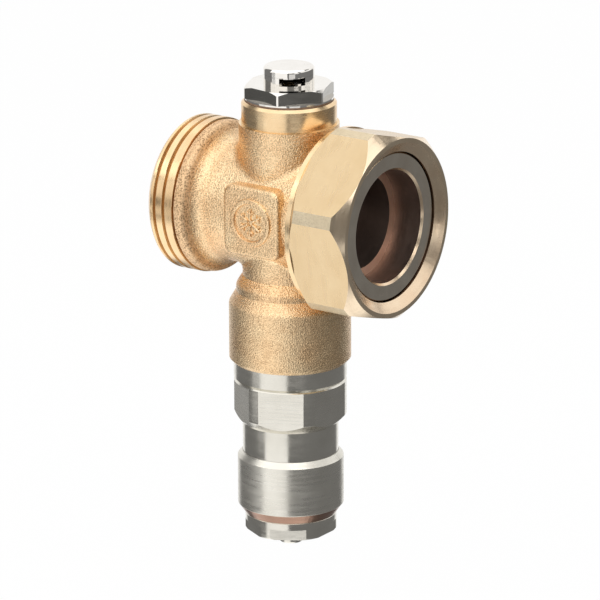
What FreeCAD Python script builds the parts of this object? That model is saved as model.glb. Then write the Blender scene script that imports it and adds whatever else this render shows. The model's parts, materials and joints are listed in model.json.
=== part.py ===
"""Anti-freeze valve, built piece by piece as a parametric document.

The origin is the crossing of the flow axis (X) and the upright cartridge axis (Z).
The union nut is on +X, the male thread on -X and the raised pad on -Y.
All sizes are in millimetres.
"""
import FreeCAD
import Part
import Sketcher
import math
import os

SIZES = {
    # Barrel of the body, along the flow axis
    "flow_bore": 20.0,
    "barrel_wall": 3.2,
    "barrel_land": 2.0,
    "barrel_right": 12.6,
    "male_thread": 33.25,
    "male_thread_length": 6.8,
    "male_chamfer": 1.2,
    "thread_turns": 2.945,
    "thread_groove_width": 0.8,
    "thread_groove_floor": 0.25,
    "thread_groove_depth": 0.7,
    "thread_relief_width": 0.35,
    "thread_relief_depth": 0.45,
    "collar_drop": 0.35,
    "collar_length": 1.85,
    "collar_slope": 1.9,
    "collar_blend": 1.6,
    "barrel_blend": 3.6,
    "blend_clear": 0.03,
    "barrel_step": 0.6,
    # Tail that carries the union nut
    "tail_reach": 25.65,
    "tail_diameter": 31.6,
    "tail_flange_width": 3.6,
    "tail_undercut": 0.9,
    "tail_chamfer": 0.3,
    "tail_wall": 3.8,
    "tail_bore_depth": 7.0,
    "bore_chamfer": 0.45,
    # Top boss for the vacuum breaker
    "breaker_thread": 15.6,
    "boss_wall": 2.25,
    "boss_cast_rim": 0.55,
    "boss_reach": 23.7,
    "boss_turned_length": 4.9,
    "boss_chamfer": 0.6,
    "boss_blend": 2.0,
    "breaker_port": 9.0,
    "breaker_socket_depth": 9.4,
    # Lower branch for the cartridge
    "branch_bore": 15.0,
    "branch_wall": 2.5,
    "branch_reach": 33.2,
    "branch_blend": 1.6,
    "shoulder_wall": 1.4,
    "upper_shoulder_top": 14.2,
    "upper_shoulder_height": 2.2,
    "shoulder_gap": 1.3,
    "lower_shoulder_height": 2.6,
    "shoulder_round": 1.6,
    "housing_thread": 20.9,
    "bell_wall": 2.5,
    "bell_chamfer": 0.85,
    "socket_depth": 10.6,
    # Raised pad on the front of the body
    "pad_width": 14.2,
    "pad_height": 15.0,
    "pad_rise": 0.9,
    "pad_corner": 2.2,
    "pad_edge": 0.8,
    # Union nut
    "nut_flats": 38.0,
    "nut_corner_diameter": 42.4,
    "nut_length": 15.0,
    "nut_lead": 1.85,
    "nut_front_chamfer": 2.6,
    "nut_rear_slope": 1.8,
    "nut_rear_collar": 1.1,
    "nut_rear_rim": 0.3,
    "nut_thread": 31.9,
    "nut_mouth": 2.1,
    "nut_mouth_depth": 1.5,
    "nut_lip": 1.9,
    "nut_turn": 14.5,
    "ring_wire": 1.6,
    "ring_side_gap": 0.1,
    "ring_inner_gap": 0.25,
    "ring_outer_gap": 0.3,
    "ring_split": 24.0,
    # Cartridge housing
    "thread_gap": 0.05,
    "housing_spigot": 9.4,
    "housing_diameter": 24.05,
    "housing_collar_length": 3.5,
    "collar_groove": 0.4,
    "housing_flats": 22.0,
    "housing_flat_length": 7.3,
    "housing_slope": 2.0,
    "housing_turn": 24.8,
    "neck_diameter": 20.4,
    "neck_length": 14.2,
    "land_wall": 0.69,
    "chamber_depth": 9.0,
    "o_ring_gap": 0.03,
    "housing_ring_wire": 1.2,
    "sleeve_ring_wire": 0.9,
    "sleeve_ring_drop": 8.4,
    # Drain sleeve and its outlet
    "neck_showing": 6.4,
    "sleeve_wall": 1.05,
    "sleeve_length": 13.8,
    "sleeve_top_chamfer": 1.0,
    "sleeve_top_bevel": 1.2,
    "sleeve_foot_slope": 2.0,
    "sleeve_foot_step": 0.18,
    "outlet_thread_step": 0.05,
    "outlet_ledge": 1.2,
    "outlet_round_length": 1.6,
    "outlet_flat_cut": 0.8,
    "outlet_flat_length": 2.35,
    "outlet_turn": 31.4,
    "outlet_edge": 0.35,
    "outlet_spigot": 2.5,
    "seat_height": 1.0,
    "seat_width": 1.0,
    "seat_margin": 0.4,
    "well_depth": 2.0,
    "spring_well": 8.2,
    "spring_well_depth": 1.0,
    "port_diameter": 1.9,
    "port_count": 6.0,
    # Drain shutter with its seal and spring
    "stem_diameter": 5.5,
    "stem_gap": 0.06,
    "stem_showing": 3.0,
    "stem_edge": 0.4,
    "shutter_gap": 0.4,
    "shutter_thickness": 2.0,
    "seal_width": 2.0,
    "shutter_hub_height": 1.0,
    "seal_thickness": 1.5,
    "seal_step": 0.4,
    "seal_gap": 0.1,
    "drain_travel": 2.5,
    "return_coil": 7.0,
    "return_wire": 0.6,
    "return_turns": 3.0,
    "spring_end_gap": 0.05,
    # Wax element
    "capsule_diameter": 9.2,
    "capsule_top": 14.6,
    "capsule_flange": 11.0,
    "capsule_flange_height": 1.6,
    "capsule_guide": 6.4,
    "capsule_guide_length": 1.8,
    "capsule_top_round": 1.6,
    "piston_diameter": 3.0,
    "piston_gap": 0.05,
    "piston_in_capsule": 9.0,
    "piston_room": 0.5,
    "piston_socket": 1.0,
    "carrier_thickness": 1.6,
    "carrier_gap": 0.05,
    "carrier_window": 2.4,
    "carrier_window_count": 6.0,
    # Vacuum breaker
    "gasket_thickness": 0.45,
    "gasket_outer": 18.6,
    "gasket_gap": 0.1,
    "washer_face": 18.8,
    "washer_face_height": 0.35,
    "breaker_flats": 17.0,
    "breaker_corner": 19.4,
    "breaker_hexagon_height": 2.7,
    "breaker_hexagon_slope": 0.5,
    "breaker_hexagon_run": 0.85,
    "breaker_turn": 51.0,
    "breaker_spigot": 8.7,
    "crown_diameter": 10.74,
    "crown_height": 2.2,
    "window_start": 0.5,
    "window_height": 1.7,
    "window_angle": 62.0,
    "window_turn": -46.0,
    "window_count": 3.0,
    "spring_chamber": 7.8,
    "orifice": 4.8,
    "ledge_drop": 2.1,
    "ledge_thickness": 1.4,
    "air_chamber": 12.0,
    "cap_height": 1.6,
    "cap_round": 0.65,
    "cap_plug": 0.6,
    "cap_gap": 0.05,
    "poppet_stem": 2.2,
    "poppet_disc": 8.8,
    "poppet_thickness": 1.3,
    "poppet_stem_length": 7.6,
    "breaker_seal_outer": 8.2,
    "breaker_seal_thickness": 1.2,
    "retainer_gap": 0.3,
    "retainer_thickness": 0.8,
    "retainer_drop": 0.4,
    "retainer_notch": 2.4,
    "retainer_notch_out": 0.72,
    "retainer_notch_count": 3.0,
    "breaker_coil": 5.6,
    "breaker_wire": 0.4,
    "breaker_turns": 4.0,
}


class Length:
    """A length with its value now and the sheet expression that drives it."""

    def __init__(self, value, text):
        self.value = value
        self.text = text

    def _join(self, other, sign, value):
        right = other.text if isinstance(other, Length) else repr(float(other))
        return Length(value, "(" + self.text + " " + sign + " " + right + ")")

    def __add__(self, other):
        return self._join(other, "+", self.value + number(other))

    def __sub__(self, other):
        return self._join(other, "-", self.value - number(other))

    def __mul__(self, other):
        return self._join(other, "*", self.value * number(other))

    def __truediv__(self, other):
        return self._join(other, "/", self.value / number(other))

    def __neg__(self):
        return Length(-self.value, "(-1.0 * " + self.text + ")")


def number(item):
    """Plain value of a Length or of a number."""
    return item.value if isinstance(item, Length) else float(item)


def least(first, second):
    """The smaller of two lengths."""
    text = "min(" + first.text + "; " + second.text + ")"
    return Length(min(first.value, second.value), text)


def root(square):
    """Square root of a length times a length."""
    return Length(math.sqrt(square.value), "sqrt(" + square.text + ")")


class Sizes:
    """Every named size of the sheet as an attribute."""

    def __init__(self, table):
        for name, value in table.items():
            setattr(self, name, Length(value, "Sizes." + name))


S = Sizes(SIZES)
ZERO = Length(0.0, "0.0")

doc = FreeCAD.newDocument("AntiFreezeValve")
sheet = doc.addObject("Spreadsheet::Sheet", "Sizes")
for row, (name, value) in enumerate(SIZES.items(), start=1):
    sheet.set("A" + str(row), name)
    sheet.set("B" + str(row), str(value))
    sheet.setAlias("B" + str(row), name)
doc.recompute()

PIECES = []


def new_body(label):
    """Start a body for one piece."""
    body = doc.addObject("PartDesign::Body", label)
    body.Label = label
    PIECES.append(body)
    return body


def new_sketch(body, plane, name, level=None):
    """Sketch on one of the body's own planes, lifted to a level if one is given."""
    sketch = body.newObject("Sketcher::SketchObject", name)
    support = [item for item in body.Origin.OriginFeatures if item.Role == plane][0]
    sketch.AttachmentSupport = (support, [""])
    sketch.MapMode = "FlatFace"
    if level is not None:
        sketch.setExpression("AttachmentOffset.Base.z", level.text)
    return sketch


def drive(sketch, kind, geometry, point, size):
    """Tie one coordinate of a sketch point to the sheet."""
    rule = Sketcher.Constraint(kind, -1, 1, geometry, point, size.value)
    index = sketch.addConstraint(rule)
    sketch.setExpression("Constraints[" + str(index) + "]", size.text)


def draw_outline(sketch, points):
    """Closed outline of straight lines with every corner tied to the sheet."""
    corners = [FreeCAD.Vector(across.value, up.value, 0) for across, up in points]
    first = sketch.GeometryCount
    count = len(points)
    for index in range(count):
        line = Part.LineSegment(corners[index], corners[(index + 1) % count])
        sketch.addGeometry(line, False)
    for index in range(count):
        follower = first + (index + 1) % count
        sketch.addConstraint(Sketcher.Constraint("Coincident", first + index, 2, follower, 1))
    for index, (across, up) in enumerate(points):
        drive(sketch, "DistanceX", first + index, 1, across)
        drive(sketch, "DistanceY", first + index, 1, up)


def draw_circle(sketch, diameter, across=ZERO, up=ZERO):
    """Circle with its centre and its diameter tied to the sheet."""
    centre = FreeCAD.Vector(across.value, up.value, 0)
    circle = Part.Circle(centre, FreeCAD.Vector(0, 0, 1), diameter.value / 2)
    index = sketch.addGeometry(circle, False)
    if across is ZERO and up is ZERO:
        sketch.addConstraint(Sketcher.Constraint("Coincident", index, 3, -1, 1))
    else:
        drive(sketch, "DistanceX", index, 3, across)
        drive(sketch, "DistanceY", index, 3, up)
    rule = sketch.addConstraint(Sketcher.Constraint("Diameter", index, diameter.value))
    sketch.setExpression("Constraints[" + str(rule) + "]", diameter.text)


def polar(radius, degrees):
    """Point at a radius and an angle."""
    turn = math.radians(degrees.value)
    cosine = Length(math.cos(turn), "cos(" + degrees.text + ")")
    sine = Length(math.sin(turn), "sin(" + degrees.text + ")")
    return radius * cosine, radius * sine


def hexagon(across_flats, flat_angle):
    """Corners of a hexagon with the middle of one flat at an angle."""
    corner_radius = across_flats / (2.0 * math.cos(math.pi / 6.0))
    return [polar(corner_radius, flat_angle + (30.0 + 60.0 * side)) for side in range(6)]


def turned(body, name, points, axis="V_Axis", kind="PartDesign::Revolution"):
    """Turn an outline of (radius, height) or (reach, radius) points about an axis."""
    sketch = new_sketch(body, "XZ_Plane", name + "_outline")
    draw_outline(sketch, points)
    feature = body.newObject(kind, name)
    feature.Profile = sketch
    feature.ReferenceAxis = (sketch, [axis])
    feature.Angle = 360.0
    doc.recompute()
    return feature


def pocket(body, sketch, name, depth, downward=True):
    """Cut a sketch into the body, and make sure that the cut removed material."""
    before = body.Shape.Volume
    feature = body.newObject("PartDesign::Pocket", name)
    feature.Profile = sketch
    feature.setExpression("Length", depth.text)
    feature.Reversed = not downward
    doc.recompute()
    if not body.Shape.Volume < before:
        raise RuntimeError(name + " cut nothing")
    return feature


def mill_flats(body, name, plane, level, depth, flats, flat_angle, stock):
    """Mill six flats on a round length of stock, from a level downward."""
    sketch = new_sketch(body, plane, name + "_outline", level)
    draw_outline(sketch, hexagon(flats, flat_angle))
    draw_circle(sketch, stock * 2.0)
    return pocket(body, sketch, name, depth)


def pattern(body, feature, name, count, axis="Z_Axis"):
    """Repeat a feature around an axis of the body."""
    body.Tip = feature
    copies = body.newObject("PartDesign::PolarPattern", name)
    copies.Originals = [feature]
    line = [item for item in body.Origin.OriginFeatures if item.Role == axis][0]
    copies.Axis = (line, [""])
    copies.Angle = 360.0
    copies.setExpression("Occurrences", count.text)
    body.Tip = copies
    doc.recompute()
    return copies


def dress(body, kind, name, property_name, size, wanted):
    """Fillet or chamfer the edges of the body that a test picks out."""
    base = body.Tip
    picked = []
    for index, edge in enumerate(base.Shape.Edges, start=1):
        middle = edge.valueAt((edge.FirstParameter + edge.LastParameter) / 2)
        if wanted(edge, middle):
            picked.append("Edge" + str(index))
    if not picked:
        raise RuntimeError(name + " found no edge")
    feature = body.newObject(kind, name)
    feature.Base = (base, picked)
    feature.setExpression(property_name, size.text)
    doc.recompute()
    if {"Invalid", "Error"} & set(feature.State):
        raise RuntimeError(name + " could not be made")
    return feature


def fillet(body, name, size, wanted):
    """Round the edges that a test picks out."""
    return dress(body, "PartDesign::Fillet", name, "Radius", size, wanted)


def around_x(point):
    """Distance of a point from the flow axis."""
    return math.hypot(point.y, point.z)


def around_z(point):
    """Distance of a point from the cartridge axis."""
    return math.hypot(point.x, point.y)


def near(value, target):
    """Whether a value equals a length closely enough to name an edge."""
    return abs(value - number(target)) < 0.01


def circle_x(reach, radius):
    """Test for a round edge about the flow axis."""
    return lambda edge, middle: near(middle.x, reach) and near(around_x(middle), radius)


def circle_z(radius, level):
    """Test for a round edge about the cartridge axis."""
    return lambda edge, middle: near(middle.z, level) and near(around_z(middle), radius)


def any_of(*tests):
    """Test that passes when one of the tests passes."""
    return lambda edge, middle: any(test(edge, middle) for test in tests)


def torus(label, ring_radius, wire, level, tilt=None, angle=None):
    """Ring of round wire at a level on the cartridge axis, or on the flow axis if tilted."""
    ring = doc.addObject("Part::Torus", label)
    ring.Label = label
    ring.setExpression("Radius1", ring_radius.text)
    ring.setExpression("Radius2", (wire / 2.0).text)
    if angle is not None:
        ring.setExpression("Angle3", angle.text)
    if tilt is not None:
        ring.Placement = FreeCAD.Placement(FreeCAD.Vector(), tilt)
        ring.setExpression("Placement.Base.x", level.text)
    else:
        ring.setExpression("Placement.Base.z", level.text)
    doc.recompute()
    PIECES.append(ring)
    return ring


def coil(label, coil_diameter, wire, turns, foot, top):
    """Coil spring between two levels."""
    height = top - foot - wire
    helix = doc.addObject("Part::Helix", label + "_path")
    helix.setExpression("Radius", (coil_diameter / 2.0).text)
    helix.setExpression("Height", height.text)
    helix.setExpression("Pitch", (height / turns).text)
    section = doc.addObject("Part::Circle", label + "_section")
    section.setExpression("Radius", (wire / 2.0).text)
    upright = FreeCAD.Rotation(FreeCAD.Vector(1, 0, 0), 90)
    section.Placement = FreeCAD.Placement(FreeCAD.Vector(), upright)
    section.setExpression("Placement.Base.x", (coil_diameter / 2.0).text)
    spring = doc.addObject("Part::Sweep", label)
    spring.Label = label
    spring.Sections = [section]
    spring.Spine = (helix, [])
    spring.Solid = True
    spring.Frenet = True
    spring.setExpression("Placement.Base.z", (foot + wire / 2.0).text)
    doc.recompute()
    PIECES.append(spring)
    return spring


# Levels that several pieces share
flow_radius = S.flow_bore / 2.0
barrel_radius = flow_radius + S.barrel_wall
male_radius = S.male_thread / 2.0
tail_radius = S.tail_diameter / 2.0
undercut_radius = tail_radius - S.tail_undercut
tail_bore_radius = tail_radius - S.tail_wall
flange_back = S.tail_reach - S.tail_flange_width
boss_radius = S.breaker_thread / 2.0 + S.boss_wall
boss_cast_radius = boss_radius + S.boss_cast_rim
barrel_start = -(boss_cast_radius + S.boss_blend + S.barrel_land)
collar_end = barrel_start - S.collar_slope
collar_start = collar_end - S.collar_length
thread_end = collar_start - S.thread_relief_width
male_end = thread_end - S.male_thread_length
thread_pitch = S.male_thread_length / S.thread_turns
collar_radius = male_radius - S.collar_drop
neck_radius = S.branch_bore / 2.0 + S.branch_wall
upper_shoulder_radius = neck_radius + S.shoulder_wall
bell_radius = S.housing_thread / 2.0 + S.bell_wall
branch_foot = -S.branch_reach
pad_face = barrel_radius + S.pad_rise

# Union nut, where it rests slid back over the tail
nut_front = S.tail_reach + S.nut_lead
nut_back = nut_front - S.nut_length
groove_back = nut_back + S.nut_lip
groove_front = groove_back + S.ring_wire + S.ring_side_gap * 2.0
ring_reach = (groove_back + groove_front) / 2.0
ring_radius = undercut_radius + S.ring_inner_gap + S.ring_wire / 2.0
groove_radius = ring_radius + S.ring_wire / 2.0 + S.ring_outer_gap

# Cartridge, from the foot of the body downward
ring_seat_radius = S.housing_thread / 2.0 + S.housing_ring_wire / 2.0 - S.thread_gap
housing_land_radius = ring_seat_radius - S.housing_ring_wire - S.o_ring_gap * 2.0
flats_top = branch_foot - S.housing_collar_length - S.collar_groove * 2.0
slope_top = flats_top - S.housing_flat_length
slope_foot = slope_top - S.housing_slope
housing_foot = slope_foot - S.neck_length
chamber_top = housing_foot + S.chamber_depth
housing_neck_radius = S.neck_diameter / 2.0
sleeve_bore_radius = housing_neck_radius + S.thread_gap
sleeve_land_radius = sleeve_bore_radius - S.sleeve_ring_wire - S.o_ring_gap * 2.0
chamber_radius = sleeve_land_radius - S.land_wall
outlet_thread_radius = chamber_radius - S.outlet_thread_step
outlet_radius = outlet_thread_radius + S.outlet_ledge
shutter_radius = chamber_radius - S.shutter_gap
seal_radius = shutter_radius - S.seal_step
seal_inner_radius = seal_radius - S.seal_width
hub_radius = seal_inner_radius - S.seal_gap
seat_outer_radius = seal_radius - S.seat_margin
seat_inner_radius = seat_outer_radius - S.seat_width
sleeve_ring_level = slope_foot - S.sleeve_ring_drop
sleeve_top = slope_foot - S.neck_showing
sleeve_foot = sleeve_top - S.sleeve_length
outlet_foot = sleeve_foot - S.outlet_round_length - S.outlet_flat_length
spigot_top = sleeve_foot + S.outlet_spigot
seat_top = spigot_top + S.seat_height
well_floor = spigot_top - S.well_depth
spring_floor = well_floor - S.spring_well_depth
shutter_foot = seat_top + S.seal_thickness
shutter_top = shutter_foot + S.shutter_thickness
hub_foot = shutter_foot - S.shutter_hub_height
carrier_foot = chamber_top - S.carrier_thickness
capsule_flange_foot = carrier_foot - S.capsule_flange_height
guide_foot = capsule_flange_foot - S.capsule_guide_length
piston_top = guide_foot + S.piston_in_capsule

# Vacuum breaker, from the face of the boss upward
breaker_spigot_radius = S.breaker_thread / 2.0 - S.thread_gap
breaker_face = S.boss_reach + S.gasket_thickness
breaker_foot = breaker_face - S.breaker_spigot
hexagon_foot = breaker_face + S.washer_face_height
hexagon_top = hexagon_foot + S.breaker_hexagon_height
crown_radius = S.crown_diameter / 2.0
crown_top = hexagon_top + S.crown_height
ledge_top = breaker_face - S.ledge_drop
ledge_foot = ledge_top - S.ledge_thickness
disc_top = ledge_foot - S.breaker_seal_thickness
poppet_top = disc_top + S.poppet_stem_length
retainer_top = poppet_top - S.retainer_drop
retainer_foot = retainer_top - S.retainer_thickness


def thread_grooves():
    """Corners of the two grooves between the ridges of the male thread."""
    corners = []
    floor = male_radius - S.thread_groove_depth
    for turns in (2.0, 1.0):
        middle = thread_end - thread_pitch * turns
        corners += [
            (middle - S.thread_groove_width / 2.0, male_radius),
            (middle - S.thread_groove_floor / 2.0, floor),
            (middle + S.thread_groove_floor / 2.0, floor),
            (middle + S.thread_groove_width / 2.0, male_radius),
        ]
    return corners


def build_valve_body():
    """Cast body: barrel, branch and boss blended together, pad, then the bores."""
    body = new_body("valve_body")
    turned(body, "barrel", [
        (male_end, ZERO),
        (male_end, male_radius - S.male_chamfer),
        (male_end + S.male_chamfer, male_radius),
        *thread_grooves(),
        (thread_end, male_radius),
        (thread_end + S.thread_relief_width / 2.0, collar_radius - S.thread_relief_depth),
        (collar_start, collar_radius),
        (collar_end, collar_radius),
        (barrel_start, barrel_radius),
        (S.barrel_right, barrel_radius),
        (S.barrel_right + S.barrel_step, undercut_radius),
        (flange_back, undercut_radius),
        (flange_back, tail_radius),
        (S.tail_reach - S.tail_chamfer, tail_radius),
        (S.tail_reach, tail_radius - S.tail_chamfer),
        (S.tail_reach, ZERO),
    ], "H_Axis")
    run = barrel_start - collar_end
    drop = collar_radius - barrel_radius
    slope = root(run * run + drop * drop)
    collar_room = least(S.collar_length, slope / 2.0) - S.blend_clear
    barrel_room = least(S.barrel_land, slope / 2.0) - S.blend_clear
    widest = (run + slope) / drop
    fillet(body, "collar_round", least(S.collar_blend, collar_room * widest),
           circle_x(collar_end, collar_radius))
    fillet(body, "barrel_round", least(S.barrel_blend, barrel_room * widest),
           circle_x(barrel_start, barrel_radius))
    upper_foot = -(S.upper_shoulder_top + S.upper_shoulder_height)
    lower_top = upper_foot - S.shoulder_gap
    lower_foot = lower_top - S.lower_shoulder_height
    turned_foot = S.boss_reach - S.boss_turned_length
    turned(body, "branch", [
        (ZERO, branch_foot),
        (bell_radius - S.bell_chamfer, branch_foot),
        (bell_radius, branch_foot + S.bell_chamfer),
        (bell_radius, lower_foot),
        (upper_shoulder_radius, lower_top),
        (upper_shoulder_radius, upper_foot),
        (neck_radius, -S.upper_shoulder_top),
        (neck_radius, ZERO),
        (boss_cast_radius, ZERO),
        (boss_cast_radius, turned_foot),
        (boss_radius, turned_foot),
        (boss_radius, S.boss_reach - S.boss_chamfer),
        (boss_radius - S.boss_chamfer, S.boss_reach),
        (ZERO, S.boss_reach),
    ])

    def crossing(radius, upward):
        return lambda edge, middle: (near(around_x(middle), barrel_radius)
                                     and near(around_z(middle), radius)
                                     and (middle.z > 0) == upward)

    fillet(body, "boss_round", S.boss_blend, crossing(boss_cast_radius, True))
    fillet(body, "branch_round", S.branch_blend, crossing(neck_radius, False))
    fillet(body, "shoulder_rounds", S.shoulder_round, any_of(
        circle_z(bell_radius, lower_foot),
        circle_z(upper_shoulder_radius, upper_foot)))
    half_width = S.pad_width / 2.0
    half_height = S.pad_height / 2.0
    pad_sketch = new_sketch(body, "XZ_Plane", "pad_outline")
    draw_outline(pad_sketch, [
        (-half_width, -half_height),
        (half_width, -half_height),
        (half_width, half_height),
        (-half_width, half_height),
    ])
    pad = body.newObject("PartDesign::Pad", "pad")
    pad.Profile = pad_sketch
    pad.setExpression("Length", pad_face.text)
    doc.recompute()
    fillet(body, "pad_corners", S.pad_corner, lambda edge, middle: (
        near(abs(middle.x), half_width) and near(abs(middle.z), half_height)))
    fillet(body, "pad_edges", S.pad_edge, lambda edge, middle: near(middle.y, -pad_face))
    bore_step = S.tail_reach - S.tail_bore_depth
    turned(body, "flow_passage", [
        (male_end, ZERO),
        (male_end, flow_radius + S.bore_chamfer),
        (male_end + S.bore_chamfer, flow_radius),
        (bore_step, flow_radius),
        (bore_step, tail_bore_radius),
        (S.tail_reach - S.bore_chamfer, tail_bore_radius),
        (S.tail_reach, tail_bore_radius + S.bore_chamfer),
        (S.tail_reach, ZERO),
    ], "H_Axis", "PartDesign::Groove")
    ring_seat_top = branch_foot + S.housing_ring_wire + S.o_ring_gap * 2.0
    turned(body, "upright_passage", [
        (ZERO, branch_foot),
        (ring_seat_radius, branch_foot),
        (ring_seat_radius, ring_seat_top),
        (S.housing_thread / 2.0, ring_seat_top),
        (S.housing_thread / 2.0, branch_foot + S.socket_depth),
        (S.branch_bore / 2.0, branch_foot + S.socket_depth),
        (S.branch_bore / 2.0, ZERO),
        (S.breaker_port / 2.0, ZERO),
        (S.breaker_port / 2.0, S.boss_reach - S.breaker_socket_depth),
        (S.breaker_thread / 2.0, S.boss_reach - S.breaker_socket_depth),
        (S.breaker_thread / 2.0, S.boss_reach),
        (ZERO, S.boss_reach),
    ], "V_Axis", "PartDesign::Groove")


def build_union_nut():
    """Union nut: turned blank, six milled flats, thread bore and ring groove."""
    body = new_body("union_nut")
    thread_radius = S.nut_thread / 2.0
    corner_radius = S.nut_corner_diameter / 2.0
    rear_radius = S.nut_flats / 2.0 + S.nut_rear_rim
    rear_edge = nut_back + S.nut_rear_collar
    turned(body, "blank", [
        (nut_back, thread_radius),
        (nut_back, rear_radius),
        (rear_edge, rear_radius),
        (rear_edge + S.nut_rear_slope, corner_radius),
        (nut_front - S.nut_front_chamfer, corner_radius),
        (nut_front, S.nut_flats / 2.0),
        (nut_front, thread_radius + S.nut_mouth),
        (nut_front - S.nut_mouth_depth, thread_radius),
        (groove_front, thread_radius),
        (groove_front, groove_radius),
        (groove_back, groove_radius),
        (groove_back, thread_radius),
    ], "H_Axis")
    mill_flats(body, "flats", "YZ_Plane", nut_front, nut_front - rear_edge,
               S.nut_flats, -S.nut_turn + 30.0, S.nut_corner_diameter)


def build_nut_ring():
    """Split wire ring that rides in the nut and stops behind the tail flange."""
    tilt = FreeCAD.Rotation(FreeCAD.Vector(0, 1, 0), 90)
    torus("nut_retaining_ring", ring_radius, S.ring_wire, ring_reach, tilt,
          -S.ring_split + 360.0)


def build_housing():
    """Cartridge housing: threaded spigot, collar, hexagon and neck in one turned piece."""
    body = new_body("cartridge_housing")
    radius = S.housing_diameter / 2.0
    spigot_radius = S.housing_thread / 2.0 - S.thread_gap
    land_top = branch_foot + S.housing_ring_wire + S.o_ring_gap * 2.0
    collar_foot = branch_foot - S.housing_collar_length
    ring_half = S.sleeve_ring_wire / 2.0 + S.o_ring_gap * 2.0
    turned(body, "blank", [
        (S.branch_bore / 2.0, branch_foot + S.housing_spigot),
        (spigot_radius, branch_foot + S.housing_spigot),
        (spigot_radius, land_top),
        (housing_land_radius, land_top),
        (housing_land_radius, branch_foot),
        (radius, branch_foot),
        (radius, collar_foot),
        (radius - S.collar_groove, collar_foot - S.collar_groove),
        (radius, flats_top),
        (radius, slope_top),
        (housing_neck_radius, slope_foot),
        (housing_neck_radius, sleeve_ring_level + ring_half),
        (sleeve_land_radius, sleeve_ring_level + ring_half),
        (sleeve_land_radius, sleeve_ring_level - ring_half),
        (housing_neck_radius, sleeve_ring_level - ring_half),
        (housing_neck_radius, housing_foot),
        (chamber_radius, housing_foot),
        (chamber_radius, chamber_top),
        (S.branch_bore / 2.0, chamber_top),
    ])
    mill_flats(body, "flats", "XY_Plane", flats_top, flats_top - slope_foot,
               S.housing_flats, S.housing_turn - 90.0, S.housing_diameter)


def build_o_rings():
    """Seals of the housing in the body and of the sleeve on the neck."""
    torus("housing_o_ring", housing_land_radius + S.o_ring_gap + S.housing_ring_wire / 2.0,
          S.housing_ring_wire, branch_foot + S.o_ring_gap + S.housing_ring_wire / 2.0)
    torus("sleeve_o_ring", sleeve_land_radius + S.o_ring_gap + S.sleeve_ring_wire / 2.0,
          S.sleeve_ring_wire, sleeve_ring_level)


def build_sleeve():
    """Drain sleeve, screwed on the neck, with a ledge under the housing."""
    body = new_body("drain_sleeve")
    outer = sleeve_bore_radius + S.sleeve_wall
    foot_top = sleeve_foot + S.sleeve_foot_slope
    turned(body, "blank", [
        (sleeve_bore_radius, sleeve_top),
        (outer - S.sleeve_top_chamfer, sleeve_top),
        (outer, sleeve_top - S.sleeve_top_bevel),
        (outer, foot_top + S.sleeve_foot_step),
        (outer - S.sleeve_foot_step, foot_top),
        (outlet_radius, sleeve_foot),
        (outlet_thread_radius, sleeve_foot),
        (outlet_thread_radius, housing_foot),
        (sleeve_bore_radius, housing_foot),
    ])


def build_outlet_nut():
    """Outlet nut: seat ring, spring well, stem guide, spanner flats and drain ports."""
    body = new_body("drain_outlet_nut")
    guide_radius = S.stem_diameter / 2.0 + S.stem_gap
    spigot_radius = outlet_thread_radius - S.thread_gap
    turned(body, "blank", [
        (guide_radius, outlet_foot),
        (outlet_radius - S.outlet_edge, outlet_foot),
        (outlet_radius, outlet_foot + S.outlet_edge),
        (outlet_radius, sleeve_foot - S.outlet_edge / 2.0),
        (outlet_radius - S.outlet_edge / 2.0, sleeve_foot),
        (spigot_radius, sleeve_foot),
        (spigot_radius, spigot_top),
        (seat_outer_radius, spigot_top),
        (seat_outer_radius, seat_top),
        (seat_inner_radius, seat_top),
        (seat_inner_radius, well_floor),
        (S.spring_well / 2.0, well_floor),
        (S.spring_well / 2.0, spring_floor),
        (guide_radius, spring_floor),
    ])
    mill_flats(body, "flats", "XY_Plane", outlet_foot + S.outlet_flat_length,
               S.outlet_flat_length, (outlet_radius - S.outlet_flat_cut) * 2.0,
               S.outlet_turn - 90.0, outlet_radius * 2.0)
    sketch = new_sketch(body, "XY_Plane", "port_outline", outlet_foot)
    port_reach = (S.spring_well / 2.0 + seat_inner_radius) / 2.0
    draw_circle(sketch, S.port_diameter, port_reach, ZERO)
    port = pocket(body, sketch, "port", well_floor - outlet_foot, False)
    pattern(body, port, "ports", S.port_count)


def build_shutter():
    """Drain shutter: disc, hub and the stem that shows under the outlet."""
    body = new_body("drain_shutter")
    stem_radius = S.stem_diameter / 2.0
    socket_radius = S.piston_diameter / 2.0 + S.piston_gap
    stem_foot = outlet_foot - S.stem_showing
    turned(body, "blank", [
        (ZERO, shutter_top - S.piston_socket),
        (socket_radius, shutter_top - S.piston_socket),
        (socket_radius, shutter_top),
        (shutter_radius, shutter_top),
        (shutter_radius, shutter_foot),
        (hub_radius, shutter_foot),
        (hub_radius, hub_foot),
        (stem_radius, hub_foot),
        (stem_radius, stem_foot + S.stem_edge),
        (stem_radius - S.stem_edge, stem_foot),
        (ZERO, stem_foot),
    ])


def build_shutter_seal():
    """Flat ring under the shutter disc."""
    body = new_body("shutter_seal")
    turned(body, "ring", [
        (seal_inner_radius, seat_top),
        (seal_radius, seat_top),
        (seal_radius, shutter_foot),
        (seal_inner_radius, shutter_foot),
    ])


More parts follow.
